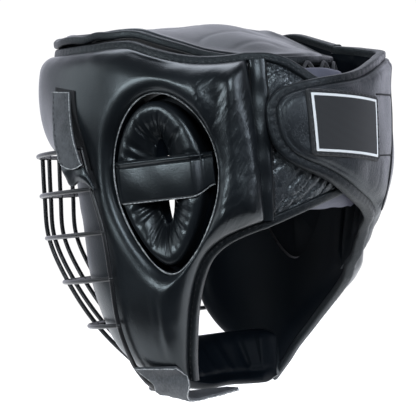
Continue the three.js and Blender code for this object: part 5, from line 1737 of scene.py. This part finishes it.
def sunk_seams(name):
    """Dark tubes where panels are sewn face to face, by the seam strip and the label: thread and painted shade."""
    lines = [form(smooth_rows(STRIP_EDGES, strip_z)[:, column], strip_z, out) for column, out in STRIP_SUNK]
    z = np.linspace(*UPRIGHT_SEAM, 60)
    places = [(seam_turn(z), z)]
    for level in FLAP_CROSS_SEAMS:
        turn = np.linspace(CROSS_SEAM_FROM, seam_turn(level), 20)
        places.append((turn, level + 0 * turn))
    lines += [form(turn, z, flap_inside(turn, z) + FLAP_THICK - SUNK_DEPTH) for turn, z in places]
    patches = [patch for line in lines for patch in tube(line, SUNK_RADIUS, 6)]
    # the dull near-black loop tape finish stands for the thread here and paints the shade in the dip
    return put_piece(name, patches, [LOOP_TAPE])


sunk_seams("sunk_seams")

# %% [markdown]
# ## Floor and light
# A photograph of a black thing on white is lit from all around, and the leather mirrors what is beside and above
# it, not what is behind the lens. So the world is bright away from the camera's place and dim towards it. Soft
# panels put the long highlights on the crown, the cheek and the back.

# %% Floor
FLOOR_DROP, FLOOR_RADIUS, FLOOR_BEHIND, FLOOR_CORNERS = 0.012, 1.0, 0.85, 96


def pale_floor():
    """Plain pale floor: a hardly changing white that also gives a little light."""
    f = Finish("pale_floor")
    tone = f.noise(f.place(), scale=3.0, detail=2.0)
    f.feed("Base Color", f.mixed(tone, (0.9, 0.9, 0.9, 1), (0.93, 0.93, 0.93, 1)))
    f.look(Roughness=0.9, Emission_Color=(1, 1, 1, 1), Emission_Strength=0.8)
    return f.material


angle = np.linspace(0, ROUND, FLOOR_CORNERS, endpoint=False)
middle = AIM * MM - back * FLOOR_BEHIND
middle[2] = cad_box[0][2] - FLOOR_DROP
disc = middle + FLOOR_RADIUS * np.stack([np.cos(angle), np.sin(angle), 0 * angle], -1)
mesh = bpy.data.meshes.new("floor")
mesh.from_pydata(disc.tolist(), [], [list(range(FLOOR_CORNERS))])
mesh.materials.append(pale_floor())
floor = bpy.data.objects.new("floor", mesh)
bpy.context.scene.collection.objects.link(floor)
print("floor at", round(middle[2], 4))

# %% World
AROUND_COLOUR = (0.86, 0.88, 1.0, 1)
# brightness away from the lens and towards it, and the cosines between which it falls
AROUND_BRIGHT, AROUND_DIM, AROUND_FROM, AROUND_TO = 1.3, 0.01, -1.0, 0.1
SEEN_WHITE = 1.05

world = bpy.data.worlds.new("studio")
bpy.context.scene.world = world
world.use_nodes = True
world.node_tree.nodes.clear()
sky = Nodes(world.node_tree)
to_lens = sky.along(sky.add("ShaderNodeTexCoord", output="Generated"), back.tolist())
fall = {"Value": to_lens, "From Min": AROUND_FROM, "From Max": AROUND_TO, "To Min": AROUND_BRIGHT,
        "To Max": AROUND_DIM}
bright = sky.add("ShaderNodeMapRange", {"interpolation_type": "SMOOTHSTEP"}, fall)
around = sky.add("ShaderNodeBackground", None, {"Color": AROUND_COLOUR, "Strength": bright})
seen = sky.add("ShaderNodeBackground", None, {"Color": (1, 1, 1, 1), "Strength": SEEN_WHITE})
by_lens = sky.add("ShaderNodeLightPath", output="Is Camera Ray")
both = sky.add("ShaderNodeMixShader", None, {0: by_lens, 1: around, 2: seen})
end = world.node_tree.nodes.new("ShaderNodeOutputWorld")
world.node_tree.links.new(both.socket, end.inputs["Surface"])
print("world nodes:", len(world.node_tree.nodes))

# %% Lights
# name, place along the camera's right, up and back in metres, size, power, colour
PANELS = [
    ("top_panel", (-0.3, 1.25, -0.4), 0.8, 9.5, (0.86, 0.91, 1.0)),
    ("back_panel", (0.95, 0.35, -0.95), 0.8, 2.5, (0.84, 0.84, 1.0)),
    ("front_panel", (-1.2, 0.35, -0.1), 0.7, 2.8, (0.88, 0.96, 1.0)),
    ("cheek_panel", (-1.0, 0.3, 0.85), 0.35, 8.0, (0.86, 0.95, 1.0)),
    ("flap_panel", (1.05, 0.45, 0.7), 0.45, 6.5, (0.84, 0.9, 1.0)),
    ("key_panel", (0.2, 0.6, 1.2), 0.4, 8.5, (0.84, 0.93, 1.0)),
]

for name, (r, u, b), size, power, colour in PANELS:
    lamp = bpy.data.lights.new(name, "AREA")
    lamp.size, lamp.energy, lamp.color = size, power, colour
    from_aim = r * right + u * up + b * back
    away = unit(from_aim)
    level = unit(np.cross(UPRIGHT, away))
    axes = (level, np.cross(away, level), away)
    set_place(bpy.data.objects.new(name, lamp), axes, AIM * MM + from_aim)
bpy.context.scene.view_settings.view_transform = "Standard"
print("panels:", [panel[0] for panel in PANELS])
